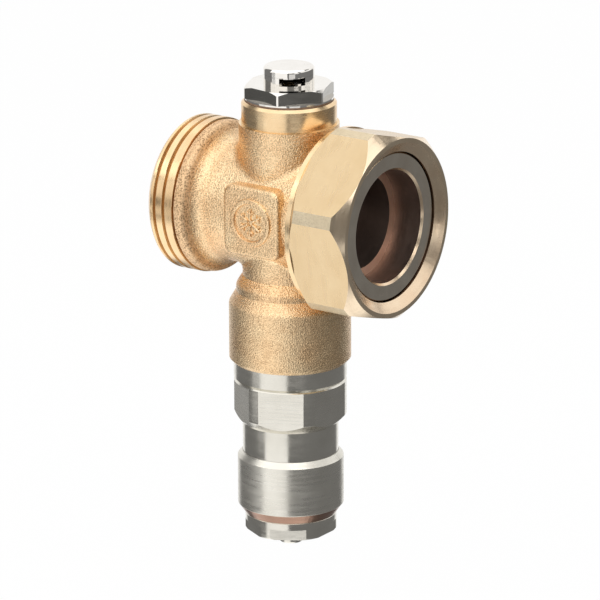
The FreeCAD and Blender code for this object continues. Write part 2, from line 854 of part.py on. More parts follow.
def build_capsule():
    """Wax capsule: cup, flange and piston guide."""
    body = new_body("wax_capsule")
    bore = S.piston_diameter / 2.0 + S.piston_gap
    cup = S.capsule_diameter / 2.0
    turned(body, "blank", [
        (bore, guide_foot),
        (S.capsule_guide / 2.0, guide_foot),
        (S.capsule_guide / 2.0, capsule_flange_foot),
        (S.capsule_flange / 2.0, capsule_flange_foot),
        (S.capsule_flange / 2.0, carrier_foot),
        (cup, carrier_foot),
        (cup, -S.capsule_top),
        (ZERO, -S.capsule_top),
        (ZERO, piston_top + S.drain_travel + S.piston_room),
        (bore, piston_top + S.drain_travel + S.piston_room),
    ])
    fillet(body, "nose", S.capsule_top_round, circle_z(cup, -S.capsule_top))


def build_piston():
    """Piston of the wax element, from the shutter's socket up into the capsule."""
    piston = doc.addObject("Part::Cylinder", "capsule_piston")
    piston.Label = "capsule_piston"
    foot = shutter_top - S.piston_socket
    piston.setExpression("Radius", (S.piston_diameter / 2.0).text)
    piston.setExpression("Height", (piston_top - foot).text)
    piston.setExpression("Placement.Base.z", foot.text)
    doc.recompute()
    PIECES.append(piston)


def build_carrier():
    """Pierced ring that seats the capsule against the step of the housing."""
    body = new_body("capsule_carrier")
    inner = S.capsule_diameter / 2.0 + S.carrier_gap
    outer = chamber_radius - S.carrier_gap
    turned(body, "ring", [
        (inner, carrier_foot),
        (outer, carrier_foot),
        (outer, chamber_top),
        (inner, chamber_top),
    ])
    sketch = new_sketch(body, "XY_Plane", "window_outline", chamber_top)
    draw_circle(sketch, S.carrier_window, (inner + outer) / 2.0, ZERO)
    window = pocket(body, sketch, "window", S.carrier_thickness)
    pattern(body, window, "windows", S.carrier_window_count)


def build_gasket():
    """Flat ring under the vacuum breaker."""
    body = new_body("breaker_gasket")
    inner = breaker_spigot_radius + S.gasket_gap
    turned(body, "ring", [
        (inner, S.boss_reach),
        (S.gasket_outer / 2.0, S.boss_reach),
        (S.gasket_outer / 2.0, breaker_face),
        (inner, breaker_face),
    ])


def build_breaker_body():
    """Vacuum breaker body: spigot, hexagon and crown with three air windows."""
    body = new_body("breaker_body")
    corner = S.breaker_corner / 2.0
    washer = S.washer_face / 2.0
    turned(body, "blank", [
        (S.air_chamber / 2.0, breaker_foot),
        (breaker_spigot_radius, breaker_foot),
        (breaker_spigot_radius, breaker_face),
        (washer, breaker_face),
        (washer, hexagon_foot),
        (corner, hexagon_foot),
        (corner, hexagon_top - S.breaker_hexagon_slope),
        (corner - S.breaker_hexagon_run, hexagon_top),
        (crown_radius, hexagon_top),
        (crown_radius, crown_top),
        (S.spring_chamber / 2.0, crown_top),
        (S.spring_chamber / 2.0, ledge_top),
        (S.orifice / 2.0, ledge_top),
        (S.orifice / 2.0, ledge_foot),
        (S.air_chamber / 2.0, ledge_foot),
    ])
    mill_flats(body, "flats", "XY_Plane", hexagon_top, S.breaker_hexagon_height,
               S.breaker_flats, S.breaker_turn - 90.0, S.breaker_corner)
    sketch = new_sketch(body, "XY_Plane", "window_outline",
                        hexagon_top + S.window_start + S.window_height)
    reach = S.crown_diameter
    draw_outline(sketch, [
        (ZERO, ZERO),
        polar(reach, S.window_turn - S.window_angle / 2.0),
        polar(reach, S.window_turn + S.window_angle / 2.0),
    ])
    window = pocket(body, sketch, "window", S.window_height)
    pattern(body, window, "windows", S.window_count)


def build_breaker_cap():
    """Domed cap with a plug that sits in the crown."""
    body = new_body("breaker_cap")
    plug = S.spring_chamber / 2.0 - S.cap_gap
    cap_top = crown_top + S.cap_height
    turned(body, "blank", [
        (ZERO, crown_top - S.cap_plug),
        (plug, crown_top - S.cap_plug),
        (plug, crown_top),
        (crown_radius, crown_top),
        (crown_radius, cap_top),
        (ZERO, cap_top),
    ])
    fillet(body, "dome_edge", S.cap_round, circle_z(crown_radius, cap_top))


def build_poppet():
    """Poppet: disc under the seat and the stem that the spring holds up."""
    body = new_body("breaker_poppet")
    stem = S.poppet_stem / 2.0
    disc = S.poppet_disc / 2.0
    turned(body, "blank", [
        (ZERO, disc_top - S.poppet_thickness),
        (disc, disc_top - S.poppet_thickness),
        (disc, disc_top),
        (stem, disc_top),
        (stem, poppet_top),
        (ZERO, poppet_top),
    ])


def build_breaker_seal():
    """Flat seal on the poppet disc."""
    body = new_body("breaker_seal")
    inner = S.poppet_stem / 2.0 + S.cap_gap
    turned(body, "ring", [
        (inner, disc_top),
        (S.breaker_seal_outer / 2.0, disc_top),
        (S.breaker_seal_outer / 2.0, ledge_foot),
        (inner, ledge_foot),
    ])


def build_retainer():
    """Notched disc on the poppet stem that takes the push of the spring."""
    body = new_body("breaker_retainer")
    inner = S.poppet_stem / 2.0 + S.cap_gap
    outer = S.spring_chamber / 2.0 - S.retainer_gap
    turned(body, "ring", [
        (inner, retainer_foot),
        (outer, retainer_foot),
        (outer, retainer_top),
        (inner, retainer_top),
    ])
    sketch = new_sketch(body, "XY_Plane", "notch_outline", retainer_top)
    draw_circle(sketch, S.retainer_notch, outer + S.retainer_notch_out, ZERO)
    notch = pocket(body, sketch, "notch", S.retainer_thickness)
    pattern(body, notch, "notches", S.retainer_notch_count)


def build_springs():
    """Return spring of the drain shutter and closing spring of the poppet."""
    coil("return_spring", S.return_coil, S.return_wire, S.return_turns,
         spring_floor + S.spring_end_gap, hub_foot - S.spring_end_gap)
    coil("breaker_spring", S.breaker_coil, S.breaker_wire, S.breaker_turns,
         ledge_top + S.spring_end_gap, retainer_foot - S.spring_end_gap)


build_valve_body()
build_union_nut()
build_nut_ring()
build_housing()
build_o_rings()
build_sleeve()
build_outlet_nut()
build_shutter()
build_shutter_seal()
build_capsule()
build_piston()
build_carrier()
build_gasket()
build_breaker_body()
build_breaker_cap()
build_poppet()
build_breaker_seal()
build_retainer()
build_springs()

failed = [item.Name for item in doc.Objects if {"Invalid", "Error"} & set(item.State)]
if failed:
    raise RuntimeError("objects in error: " + ", ".join(failed))
for piece in PIECES:
    if piece.Shape.isNull() or not piece.Shape.isValid():
        raise RuntimeError(piece.Label + " has no sound shape")

os.makedirs("parts", exist_ok=True)
for piece in PIECES:
    piece.Shape.exportStep("parts/" + piece.Label + ".step")
    print(piece.Label, round(piece.Shape.Volume, 1))
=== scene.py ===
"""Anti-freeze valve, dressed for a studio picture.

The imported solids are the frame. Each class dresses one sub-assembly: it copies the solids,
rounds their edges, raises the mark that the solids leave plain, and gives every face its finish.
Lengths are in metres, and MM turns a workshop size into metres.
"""
import json
import logging
import math
from dataclasses import dataclass, field
from enum import Enum
from typing import Callable

import bmesh
import bpy
from mathutils import Matrix, Vector
from mathutils.interpolate import poly_3d_calc


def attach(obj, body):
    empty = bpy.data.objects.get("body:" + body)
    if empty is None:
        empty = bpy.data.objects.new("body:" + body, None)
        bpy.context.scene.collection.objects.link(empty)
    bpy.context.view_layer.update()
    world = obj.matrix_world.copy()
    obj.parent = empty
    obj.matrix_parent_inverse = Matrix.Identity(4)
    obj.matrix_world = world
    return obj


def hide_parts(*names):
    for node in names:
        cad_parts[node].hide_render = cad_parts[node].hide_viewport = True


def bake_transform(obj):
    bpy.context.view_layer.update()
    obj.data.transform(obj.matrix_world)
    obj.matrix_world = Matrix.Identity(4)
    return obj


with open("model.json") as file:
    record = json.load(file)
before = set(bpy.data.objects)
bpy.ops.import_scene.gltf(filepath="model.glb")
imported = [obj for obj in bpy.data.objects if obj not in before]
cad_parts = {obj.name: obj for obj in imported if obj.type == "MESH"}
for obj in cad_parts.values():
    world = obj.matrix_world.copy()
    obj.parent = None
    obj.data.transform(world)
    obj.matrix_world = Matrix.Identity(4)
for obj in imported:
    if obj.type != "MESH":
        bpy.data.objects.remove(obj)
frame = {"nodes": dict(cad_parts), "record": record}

MM = 0.001
LOG = logging.getLogger("anti_freeze_valve")

Colour = tuple[float, float, float]
PlaceTest = Callable[[Vector], bool]
FaceTest = Callable[[Vector, Vector], bool]

# Slot of the broken edges on each dressed copy
EDGE_SLOT = 1
# Corners closer than this become one
WELD = 0.001 * MM
# A face with more corners than this was joined from flat ones
FLAT_CORNERS = 4
# Step from a corner into its face, where the solid's normal is read
INSET = 0.02
# Colour sockets of the Mix node
MIX_FIRST, MIX_SECOND, MIX_RESULT = 6, 7, 2
# Share of a normal along an axis: of faces square to it, slanted ones and those beside it
FACING = 0.9
SLANT = 0.3
SLANT_END = 0.95
BESIDE = 0.1


class Axis(Enum):
    """Axes that the turned pieces spin on."""

    FLOW = 0
    UPRIGHT = 2


def off_flow(place: Vector) -> float:
    """Distance of a place from the flow axis."""
    return math.hypot(place.y, place.z)


def off_upright(place: Vector) -> float:
    """Distance of a place from the upright axis."""
    return math.hypot(place.x, place.y)


def from_flow(place: Vector, normal: Vector) -> float:
    """How far a face looks away from the flow axis, below 0 where it looks inward."""
    return place.y * normal.y + place.z * normal.z


def from_upright(place: Vector, normal: Vector) -> float:
    """How far a face looks away from the upright axis, below 0 where it looks inward."""
    return place.x * normal.x + place.y * normal.y


# Benches: two for wiring nodes, one for working on meshes


class NodeBench:
    """Bench on which a tree of shader nodes is wired."""

    def __init__(self, tree: bpy.types.NodeTree) -> None:
        """Put a tree on the bench."""
        self.tree = tree

    def node(self, kind: str, **settings: object) -> bpy.types.Node:
        """Add a node.

        Args:
            kind: Blender's name for the node type.
            settings: Properties to set on the node.

        Returns:
            The new node.
        """
        made = self.tree.nodes.new(kind)
        for name, value in settings.items():
            setattr(made, name, value)
        return made

    def link(self, source: bpy.types.NodeSocket, target: bpy.types.NodeSocket) -> None:
        """Join an output to an input."""
        self.tree.links.new(source, target)

    def sum_up(self, kind: str, first: bpy.types.NodeSocket,
               second: bpy.types.NodeSocket | float) -> bpy.types.NodeSocket:
        """Work on two values.

        Args:
            kind: Operation of the Math node.
            first: First value.
            second: Second value, a socket or a number.

        Returns:
            The result.
        """
        made = self.node("ShaderNodeMath", operation=kind)
        self.link(first, made.inputs[0])
        if isinstance(second, float):
            made.inputs[1].default_value = second
        else:
            self.link(second, made.inputs[1])
        return made.outputs[0]

    def mix(self, share: bpy.types.NodeSocket, first: bpy.types.Node, second: bpy.types.Node,
            output: str) -> None:
        """Mix two shaders and send them to the tree's output.

        Args:
            share: Share of the second shader.
            first: Shader where the share is 0.
            second: Shader where the share is 1.
            output: Blender's name for the output node.
        """
        mixed = self.node("ShaderNodeMixShader")
        for source, target in zip((share, first.outputs[0], second.outputs[0]), mixed.inputs):
            self.link(source, target)
        self.link(mixed.outputs[0], self.node(output).inputs["Surface"])


class ShaderBench(NodeBench):
    """Bench on which one material of the valve is wired."""

    def __init__(self, name: str) -> None:
        """Start a material with its surface shader.

        Args:
            name: Name of the material.
        """
        self.material = bpy.data.materials.new(name)
        self.material.use_nodes = True
        super().__init__(self.material.node_tree)
        self.shader = self.tree.nodes["Principled BSDF"]
        self.place = self.node("ShaderNodeTexCoord").outputs["Object"]

    def noise(self, grain: float, detail: float = 3.0, rough: float = 0.55,
              place: bpy.types.NodeSocket | None = None) -> bpy.types.NodeSocket:
        """Cloudy pattern.

        Args:
            grain: Size of one cloud.
            detail: Octaves of finer clouds.
            rough: Weight of the finer clouds.
            place: Where the pattern is read, the piece's own place if left out.

        Returns:
            Value from 0 to 1.
        """
        made = self.node("ShaderNodeTexNoise")
        self.link(place or self.place, made.inputs["Vector"])
        made.inputs["Scale"].default_value = 1.0 / grain
        made.inputs["Detail"].default_value = detail
        made.inputs["Roughness"].default_value = rough
        return made.outputs["Fac"]

    def dots(self, gap: float) -> bpy.types.NodeSocket:
        """Distance from the nearest of many scattered dots.

        Args:
            gap: Usual gap between two dots.

        Returns:
            Distance as a share of the gap.
        """
        made = self.node("ShaderNodeTexVoronoi")
        self.link(self.place, made.inputs["Vector"])
        made.inputs["Scale"].default_value = 1.0 / gap
        return made.outputs["Distance"]

    def stretched(self, scale: tuple[float, float, float]) -> bpy.types.NodeSocket:
        """Place with each axis scaled, so that a pattern becomes streaks.

        Args:
            scale: Scale of each axis.

        Returns:
            The scaled place.
        """
        made = self.node("ShaderNodeMapping")
        made.inputs["Scale"].default_value = scale
        self.link(self.place, made.inputs["Vector"])
        return made.outputs["Vector"]

    def spread(self, value: bpy.types.NodeSocket, low: float, high: float,
               start: float = 0.3, end: float = 0.7) -> bpy.types.NodeSocket:
        """Stretch a pattern over a range.

        Args:
            value: Pattern to stretch.
            low: Result at the start.
            high: Result at the end.
            start: Pattern value that gives low.
            end: Pattern value that gives high.

        Returns:
            The stretched value.
        """
        made = self.node("ShaderNodeMapRange")
        self.link(value, made.inputs["Value"])
        made.inputs["From Min"].default_value = start
        made.inputs["From Max"].default_value = end
        made.inputs["To Min"].default_value = low
        made.inputs["To Max"].default_value = high
        return made.outputs["Result"]

    def ramp(self, value: bpy.types.NodeSocket,
             stops: list[tuple[float, Colour]]) -> bpy.types.NodeSocket:
        """Turn a pattern into colours.

        Args:
            value: Pattern from 0 to 1.
            stops: The two ends of the ramp with their colours.

        Returns:
            The colour.
        """
        made = self.node("ShaderNodeValToRGB")
        self.link(value, made.inputs["Fac"])
        for element, (position, colour) in zip(made.color_ramp.elements, stops):
            element.position = position
            element.color = (*colour, 1.0)
        return made.outputs["Color"]

    def blend(self, share: bpy.types.NodeSocket, first: bpy.types.NodeSocket,
              second: Colour) -> bpy.types.NodeSocket:
        """Mix two colours by a pattern.

        Args:
            share: Share of the second colour.
            first: Colour where the share is 0.
            second: Colour where the share is 1.

        Returns:
            The mixed colour.
        """
        made = self.node("ShaderNodeMix", data_type="RGBA")
        self.link(share, made.inputs["Factor"])
        self.link(first, made.inputs[MIX_FIRST])
        made.inputs[MIX_SECOND].default_value = (*second, 1.0)
        return made.outputs[MIX_RESULT]

    def lathe_place(self, axis: Axis) -> bpy.types.NodeSocket:
        """Place along and away from an axis, so that a pattern becomes tool rings.

        Args:
            axis: Axis of the lathe.

        Returns:
            Vector of the reach along the axis and the distance from it.
        """
        split = self.node("ShaderNodeSeparateXYZ")
        self.link(self.place, split.inputs[0])
        across = [part for part in range(3) if part != axis.value]
        squares = [self.sum_up("MULTIPLY", split.outputs[part], split.outputs[part])
                   for part in across]
        radius = self.sum_up("SQRT", self.sum_up("ADD", *squares), 0.0)
        joined = self.node("ShaderNodeCombineXYZ")
        self.link(split.outputs[axis.value], joined.inputs[0])
        self.link(radius, joined.inputs[1])
        return joined.outputs[0]

    def bump(self, height: bpy.types.NodeSocket, depth: float, strength: float,
             over: bpy.types.NodeSocket | None = None) -> bpy.types.NodeSocket:
        """Raise a pattern.

        Args:
            height: Pattern from 0 to 1.
            depth: Height of the pattern in metres.
            strength: Share of the effect.
            over: Bump that lies below this one.

        Returns:
            The bent normal.
        """
        made = self.node("ShaderNodeBump")
        made.inputs["Strength"].default_value = strength
        made.inputs["Distance"].default_value = depth
        self.link(height, made.inputs["Height"])
        if over is not None:
            self.link(over, made.inputs["Normal"])
        return made.outputs["Normal"]

    def surface(self, colour: bpy.types.NodeSocket, roughness: bpy.types.NodeSocket,
                normal: bpy.types.NodeSocket, metal: float) -> bpy.types.Material:
        """Join the patterns to the surface shader.

        Args:
            colour: Base colour.
            roughness: Roughness.
            normal: Bent normal.
            metal: 1 for metal and 0 for the rest.

        Returns:
            The finished material.
        """
        self.shader.inputs["Metallic"].default_value = metal
        self.link(colour, self.shader.inputs["Base Color"])
        self.link(roughness, self.shader.inputs["Roughness"])
        self.link(normal, self.shader.inputs["Normal"])
        return self.material


class MeshBench:
    """Bench on which meshes are worked by hand tools."""

    @staticmethod
    def take(piece: bpy.types.Object) -> None:
        """Put one piece alone on the bench."""
        if bpy.context.mode != "OBJECT":
            bpy.ops.object.mode_set(mode="OBJECT")
        bpy.ops.object.select_all(action="DESELECT")
        piece.select_set(True)
        bpy.context.view_layer.objects.active = piece

    @staticmethod
    def merge(piece: bpy.types.Object, flat: float = math.radians(0.4)) -> None:
        """Join loose triangles into one skin and clear the edges on flat faces.

        Args:
            piece: Piece with loose triangles.
            flat: Angle under which two faces count as one.
        """
        MeshBench.take(piece)
        bpy.ops.object.mode_set(mode="EDIT")
        bpy.ops.mesh.select_all(action="SELECT")
        bpy.ops.mesh.remove_doubles(threshold=WELD)
        bpy.ops.mesh.dissolve_limited(angle_limit=flat)
        bpy.ops.object.mode_set(mode="OBJECT")

    @staticmethod
    def apply(piece: bpy.types.Object, kind: str, **settings: object) -> None:
        """Add a modifier and apply it.

        Args:
            piece: Piece to change.
            kind: Type of the modifier.
            settings: Its settings.
        """
        MeshBench.take(piece)
        made = piece.modifiers.new(kind.lower(), kind)
        for name, value in settings.items():
            setattr(made, name, value)
        bpy.ops.object.modifier_apply(modifier=made.name)

    @staticmethod
    def bevel(piece: bpy.types.Object, test: PlaceTest, width: float, steps: int,
              corner: float = math.radians(24.0), outer: bool = True) -> None:
        """Round sharp edges of a piece and give the new faces the slot of broken edges.

        Args:
            piece: Piece to change.
            test: Test for the middle of an edge.
            width: Width of the round.
            steps: Faces across it.
            corner: Angle over which an edge counts as sharp.
            outer: True for outer edges, False for inner corners.
        """
        MeshBench.take(piece)
        bpy.ops.object.mode_set(mode="EDIT")
        bpy.ops.mesh.select_mode(type="EDGE")
        bpy.ops.mesh.select_all(action="DESELECT")
        skin = bmesh.from_edit_mesh(piece.data)
        for edge in skin.edges:
            sharp = (edge.is_manifold and edge.is_convex == outer
                     and edge.calc_face_angle() > corner)
            edge.select_set(sharp and test((edge.verts[0].co + edge.verts[1].co) / 2.0))
        bmesh.update_edit_mesh(piece.data)
        bpy.ops.mesh.bevel(offset_type="OFFSET", offset=width, segments=steps,
                           material=EDGE_SLOT, clamp_overlap=True)
        bpy.ops.object.mode_set(mode="OBJECT")

    @staticmethod
    def normal_of(solid: bpy.types.Object, place: Vector) -> Vector:
        """Read the normal of a solid's surface.

        Args:
            solid: Solid to read.
            place: Place on its surface or close to it.

        Returns:
            The normal, as the solid is shaded there.
        """
        _, nearest, _, index = solid.closest_point_on_mesh(place)
        mesh = solid.data
        face = mesh.polygons[index]
        shares = poly_3d_calc([mesh.vertices[corner].co for corner in face.vertices], nearest)
        return sum((share * mesh.corner_normals[loop].vector
                    for share, loop in zip(shares, face.loop_indices)), Vector())

    @staticmethod
    def shade_like(piece: bpy.types.Object, solid: bpy.types.Object) -> None:
        """Shade a worked copy as its solid is shaded, with its broken edges round.

        Args:
            piece: Worked copy, with its broken edges in their slot.
            solid: Solid that it was copied from.
        """
        MeshBench.take(piece)
        bpy.ops.object.shade_smooth()
        mesh = piece.data
        normals = [mesh.vertex_normals[loop.vertex_index].vector.copy() for loop in mesh.loops]
        beside: dict[int, Vector] = {}
        for face in mesh.polygons:
            if face.material_index == EDGE_SLOT:
                continue
            for index in face.loop_indices:
                corner = mesh.loops[index].vertex_index
                if len(face.vertices) > FLAT_CORNERS:
                    normals[index] = face.normal.copy()
                else:
                    place = mesh.vertices[corner].co.lerp(face.center, INSET)
                    normals[index] = MeshBench.normal_of(solid, place).normalized()
                beside[corner] = beside.get(corner, Vector()) + normals[index]
        for face in mesh.polygons:
            if face.material_index == EDGE_SLOT:
                for index in face.loop_indices:
                    corner = mesh.loops[index].vertex_index
                    normals[index] = beside.get(corner, normals[index]).normalized()
        mesh.normals_split_custom_set(normals)


# Finishes


@dataclass(frozen=True)
class SandCastBrass:
    """Sand-blasted cast brass with fine pits, dark specks and rubbed high spots."""

    name: str = "sand_cast_brass"
    pale: Colour = (0.99, 0.75, 0.46)
    deep: Colour = (0.92, 0.62, 0.35)
    speck: Colour = (0.40, 0.24, 0.11)
    speck_share: float = 0.62
    speck_gap: float = 0.36 * MM
    grain: float = 0.26 * MM
    pit_depth: float = 0.085 * MM
    smoothest: float = 0.16
    roughest: float = 0.30
    cloud: float = 7.0 * MM
    patch: float = 3.0 * MM
    ragged: float = 0.22
    wave: float = 1.6 * MM
    wave_depth: float = 0.05 * MM

    def material(self) -> bpy.types.Material:
        """Make the material.

        Returns:
            The material.
        """
        bench = ShaderBench(self.name)
        cloud = bench.noise(self.cloud, 3.0)
        grain = bench.noise(self.grain, 2.0, 0.6)
        dots = bench.dots(self.speck_gap)
        tone = bench.ramp(cloud, [(0.32, self.deep), (0.68, self.pale)])
        patches = bench.spread(bench.noise(self.patch, 2.0), 0.45, 1.0, 0.36, 0.58)
        ragged = bench.sum_up("ADD", dots, bench.spread(grain, -self.ragged, self.ragged))
        specks = bench.spread(ragged, self.speck_share, 0.0, 0.22, 0.60)
        colour = bench.blend(bench.sum_up("MULTIPLY", specks, patches), tone, self.speck)
        roughness = bench.spread(grain, self.roughest, self.smoothest)
        waves = bench.bump(bench.noise(self.wave, 2.0), self.wave_depth, 0.5)
        sand = bench.bump(grain, self.pit_depth, 0.8, waves)
        normal = bench.bump(ragged, self.pit_depth, 0.7, sand)
        return bench.surface(colour, roughness, normal, 1.0)


@dataclass(frozen=True)
class TurnedMetal:
    """Metal cut on the lathe, with fine tool rings about an axis."""

    name: str
    axis: Axis
    pale: Colour
    deep: Colour
    smoothest: float
    roughest: float
    ring: float = 0.16 * MM
    ring_depth: float = 0.003 * MM
    rings_in_band: float = 6.0
    cloud: float = 5.0 * MM
    scuff: float = 0.5 * MM
    streak: float = 0.12

    def material(self) -> bpy.types.Material:
        """Make the material.

        Returns:
            The material.
        """
        bench = ShaderBench(self.name)
        lathe = bench.lathe_place(self.axis)
        rings = bench.noise(self.ring, 2.0, 0.6, lathe)
        bands = bench.noise(self.ring * self.rings_in_band, 2.0, 0.5, lathe)
        cloud = bench.noise(self.cloud, 3.0)
        tone = bench.ramp(cloud, [(0.30, self.deep), (0.70, self.pale)])
        colour = bench.blend(bench.spread(bands, 0.0, 0.35, 0.45, 0.75), tone, self.deep)
        run = [self.streak] * 3
        run[self.axis.value] = 1.0
        scuffs = bench.noise(self.scuff, 3.0, 0.6, bench.stretched(tuple(run)))
        worn = bench.sum_up("ADD", bench.spread(bands, 0.0, 0.5),
                            bench.spread(scuffs, 0.0, 0.5))
        roughness = bench.spread(worn, self.smoothest, self.roughest, 0.2, 0.8)
        normal = bench.bump(rings, self.ring_depth, 0.5)
        return bench.surface(colour, roughness, normal, 1.0)


@dataclass(frozen=True)
class MilledMetal:
    """Metal flats with the fine strokes of a cutter along one direction."""

    name: str
    pale: Colour
    deep: Colour
    smoothest: float
    roughest: float
    strokes: tuple[float, float, float]
    stroke_depth: float = 0.003 * MM
    cloud: float = 6.0 * MM
    wave: float = 4.0 * MM
    wave_depth: float = 0.012 * MM

    def material(self) -> bpy.types.Material:
        """Make the material.

        Returns:
            The material.
        """
        bench = ShaderBench(self.name)
        strokes = bench.noise(1.0, 2.0, 0.5, bench.stretched(self.strokes))
        cloud = bench.noise(self.cloud, 2.0)
        tone = bench.ramp(cloud, [(0.30, self.deep), (0.70, self.pale)])
        colour = bench.blend(bench.spread(strokes, 0.5, 0.0, 0.30, 0.55), tone, self.deep)
        roughness = bench.spread(strokes, self.roughest, self.smoothest)
        waves = bench.bump(bench.noise(self.wave, 1.0), self.wave_depth, 0.5)
        normal = bench.bump(strokes, self.stroke_depth, 0.4, waves)
        return bench.surface(colour, roughness, normal, 1.0)


@dataclass(frozen=True)
class SealStuff:
    """Rubber or pressed fibre of the seals."""

    name: str
    dark: Colour
    dusty: Colour
    cloud: float = 0.8 * MM
    grain: float = 0.15 * MM
    grain_depth: float = 0.01 * MM

    def material(self) -> bpy.types.Material:
        """Make the material.

        Returns:
            The material.
        """
        bench = ShaderBench(self.name)
        dust = bench.noise(self.cloud, 4.0)
        colour = bench.ramp(dust, [(0.40, self.dark), (0.75, self.dusty)])
        roughness = bench.spread(dust, 0.50, 0.75)
        normal = bench.bump(bench.noise(self.grain, 2.0), self.grain_depth, 0.5)
        return bench.surface(colour, roughness, normal, 0.0)


class Finishes:
    """Every material of the valve, made once."""

    def __init__(self) -> None:
        """Make the materials."""
        brass = (0.95, 0.73, 0.45)
        worn_brass = (0.85, 0.60, 0.34)
        nickel = (0.80, 0.77, 0.695)
        dull_nickel = (0.72, 0.69, 0.615)
        self.cast = SandCastBrass().material()
        self.fine_cast = SandCastBrass("fine_cast_brass", speck_share=0.50,
                                       speck_gap=0.34 * MM, smoothest=0.20,
                                       roughest=0.34).material()
        self.rough_cast = SandCastBrass("rough_cast_brass", (0.92, 0.66, 0.40),
                                        (0.82, 0.55, 0.31), (0.28, 0.16, 0.08), 0.90,
                                        0.40 * MM, pit_depth=0.06 * MM, smoothest=0.42,
                                        roughest=0.58).material()
        self.blasted = SandCastBrass("blasted_brass", (0.74, 0.63, 0.45), (0.66, 0.55, 0.38),
                                     (0.46, 0.37, 0.24), 0.40, 0.40 * MM, 0.35 * MM,
                                     0.02 * MM, 0.42, 0.55).material()
        self.flow_turned = TurnedMetal("turned_brass_flow", Axis.FLOW, brass, worn_brass,
                                       0.16, 0.28).material()
        self.upright_turned = TurnedMetal("turned_brass_upright", Axis.UPRIGHT, brass,
                                          worn_brass, 0.18, 0.30).material()
        # Broken brass edges: rubbed wear, plus a paler colour as a painted highlight along them.
        self.rubbed_brass_painted_highlight = TurnedMetal("rubbed_brass_painted_highlight", Axis.FLOW, (0.98, 0.80, 0.54), brass,
                                        0.14, 0.24).material()
        # Thread grooves: darker colour as painted shade in the grooves.
        self.groove_painted_shade = TurnedMetal("thread_groove_painted_shade", Axis.FLOW, (0.72, 0.50, 0.28),
                                   (0.62, 0.41, 0.22), 0.22, 0.34).material()
        self.threaded = TurnedMetal("threaded_brass", Axis.FLOW, (0.93, 0.69, 0.41),
                                    (0.84, 0.57, 0.31), 0.18, 0.30).material()
        # Tail's outside within the nut, and the nut's bore: near-black colour as painted shade.
        self.bore_painted_shade = TurnedMetal("bore_brass_painted_shade", Axis.FLOW, (0.24, 0.185, 0.16),
                                 (0.17, 0.13, 0.11), 0.10, 0.18).material()
        # Water passages: dark colour as painted shade inside the bores.
        self.passage = TurnedMetal("passage_painted_shade", Axis.FLOW, (0.40, 0.32, 0.28),
                                   (0.31, 0.245, 0.21), 0.42, 0.54).material()
        # Tail's bore wall: dark colour as painted shade inside the bore.
        self.tail_bore_painted_shade = TurnedMetal("tail_bore_brass_painted_shade", Axis.FLOW, (0.36, 0.275, 0.235),
                                     (0.28, 0.21, 0.175), 0.40, 0.52).material()
        self.chamfered = TurnedMetal("chamfered_brass", Axis.FLOW, (0.94, 0.77, 0.56),
                                     (0.86, 0.68, 0.48), 0.16, 0.26).material()
        self.seat = TurnedMetal("bright_seat", Axis.FLOW, (0.97, 0.70, 0.55),
                                (0.90, 0.60, 0.45), 0.42, 0.52).material()
        self.mouth = TurnedMetal("turned_mouth", Axis.FLOW, (0.93, 0.75, 0.54),
                                 (0.86, 0.65, 0.45), 0.18, 0.28).material()
        # Tail's end face: greyer colour as a painted reflection of dark surroundings.
        self.faced_painted_reflection = TurnedMetal("faced_brass_painted_reflection", Axis.FLOW, (0.82, 0.74, 0.62),
                                 (0.70, 0.61, 0.50), 0.12, 0.22, 0.22 * MM).material()
        # Nut's flats: brass colour darkened as painted shade.
        self.milled_painted_shade = MilledMetal("milled_brass_painted_shade", (0.70, 0.535, 0.325), (0.66, 0.49, 0.285),
                                  0.22, 0.30, (700.0, 160.0, 160.0), 0.0008 * MM).material()
        self.nickel = TurnedMetal("nickel_plate", Axis.UPRIGHT, nickel, dull_nickel,
                                  0.14, 0.24).material()
        self.satin_nickel = TurnedMetal("satin_nickel", Axis.UPRIGHT, nickel, dull_nickel,
                                        0.24, 0.36).material()
        self.milled_nickel = MilledMetal("milled_nickel", nickel, dull_nickel, 0.20, 0.32,
                                         (160.0, 160.0, 2600.0), 0.006 * MM).material()
        # Broken nickel edges: rubbed wear, plus a paler colour as a painted highlight along
        # them.
        self.rubbed_nickel_painted_highlight = TurnedMetal("rubbed_nickel_painted_highlight", Axis.UPRIGHT, (0.92, 0.89, 0.82),
                                         nickel, 0.12, 0.22).material()
        self.bright_nickel = TurnedMetal("bright_nickel", Axis.UPRIGHT, (0.94, 0.91, 0.86),
                                         (0.86, 0.825, 0.77), 0.05, 0.11,
                                         ring_depth=0.001 * MM).material()
        self.bronze = TurnedMetal("bare_bronze", Axis.UPRIGHT, (0.40, 0.245, 0.175),
                                  (0.32, 0.19, 0.135), 0.16, 0.28).material()
        # Breaker's hexagon flats: dark colour as painted shade.
        self.nickel_flats_painted_shade = MilledMetal("nickel_flats_painted_shade", (0.42, 0.405, 0.37), (0.36, 0.345, 0.315),
                                       0.10, 0.18, (160.0, 160.0, 1600.0),
                                       0.001 * MM).material()
        # Spring chamber and windows: near-black colour as painted shade.
        self.hollow_painted_shade = TurnedMetal("hollow_nickel_painted_shade", Axis.UPRIGHT, (0.050, 0.045, 0.042),
                                  (0.028, 0.026, 0.025), 0.35, 0.50).material()
        self.rubber = SealStuff("seal_rubber", (0.020, 0.017, 0.015),
                                (0.060, 0.052, 0.046)).material()
        self.fibre = SealStuff("pressed_fibre", (0.20, 0.115, 0.065),
                               (0.32, 0.20, 0.12)).material()
        self.steel = TurnedMetal("spring_steel", Axis.UPRIGHT, (0.30, 0.29, 0.28),
                                 (0.22, 0.21, 0.20), 0.25, 0.40).material()
        self.copper = TurnedMetal("drawn_copper", Axis.UPRIGHT, (0.86, 0.52, 0.36),
                                  (0.70, 0.38, 0.25), 0.18, 0.32).material()


# Pieces of the valve


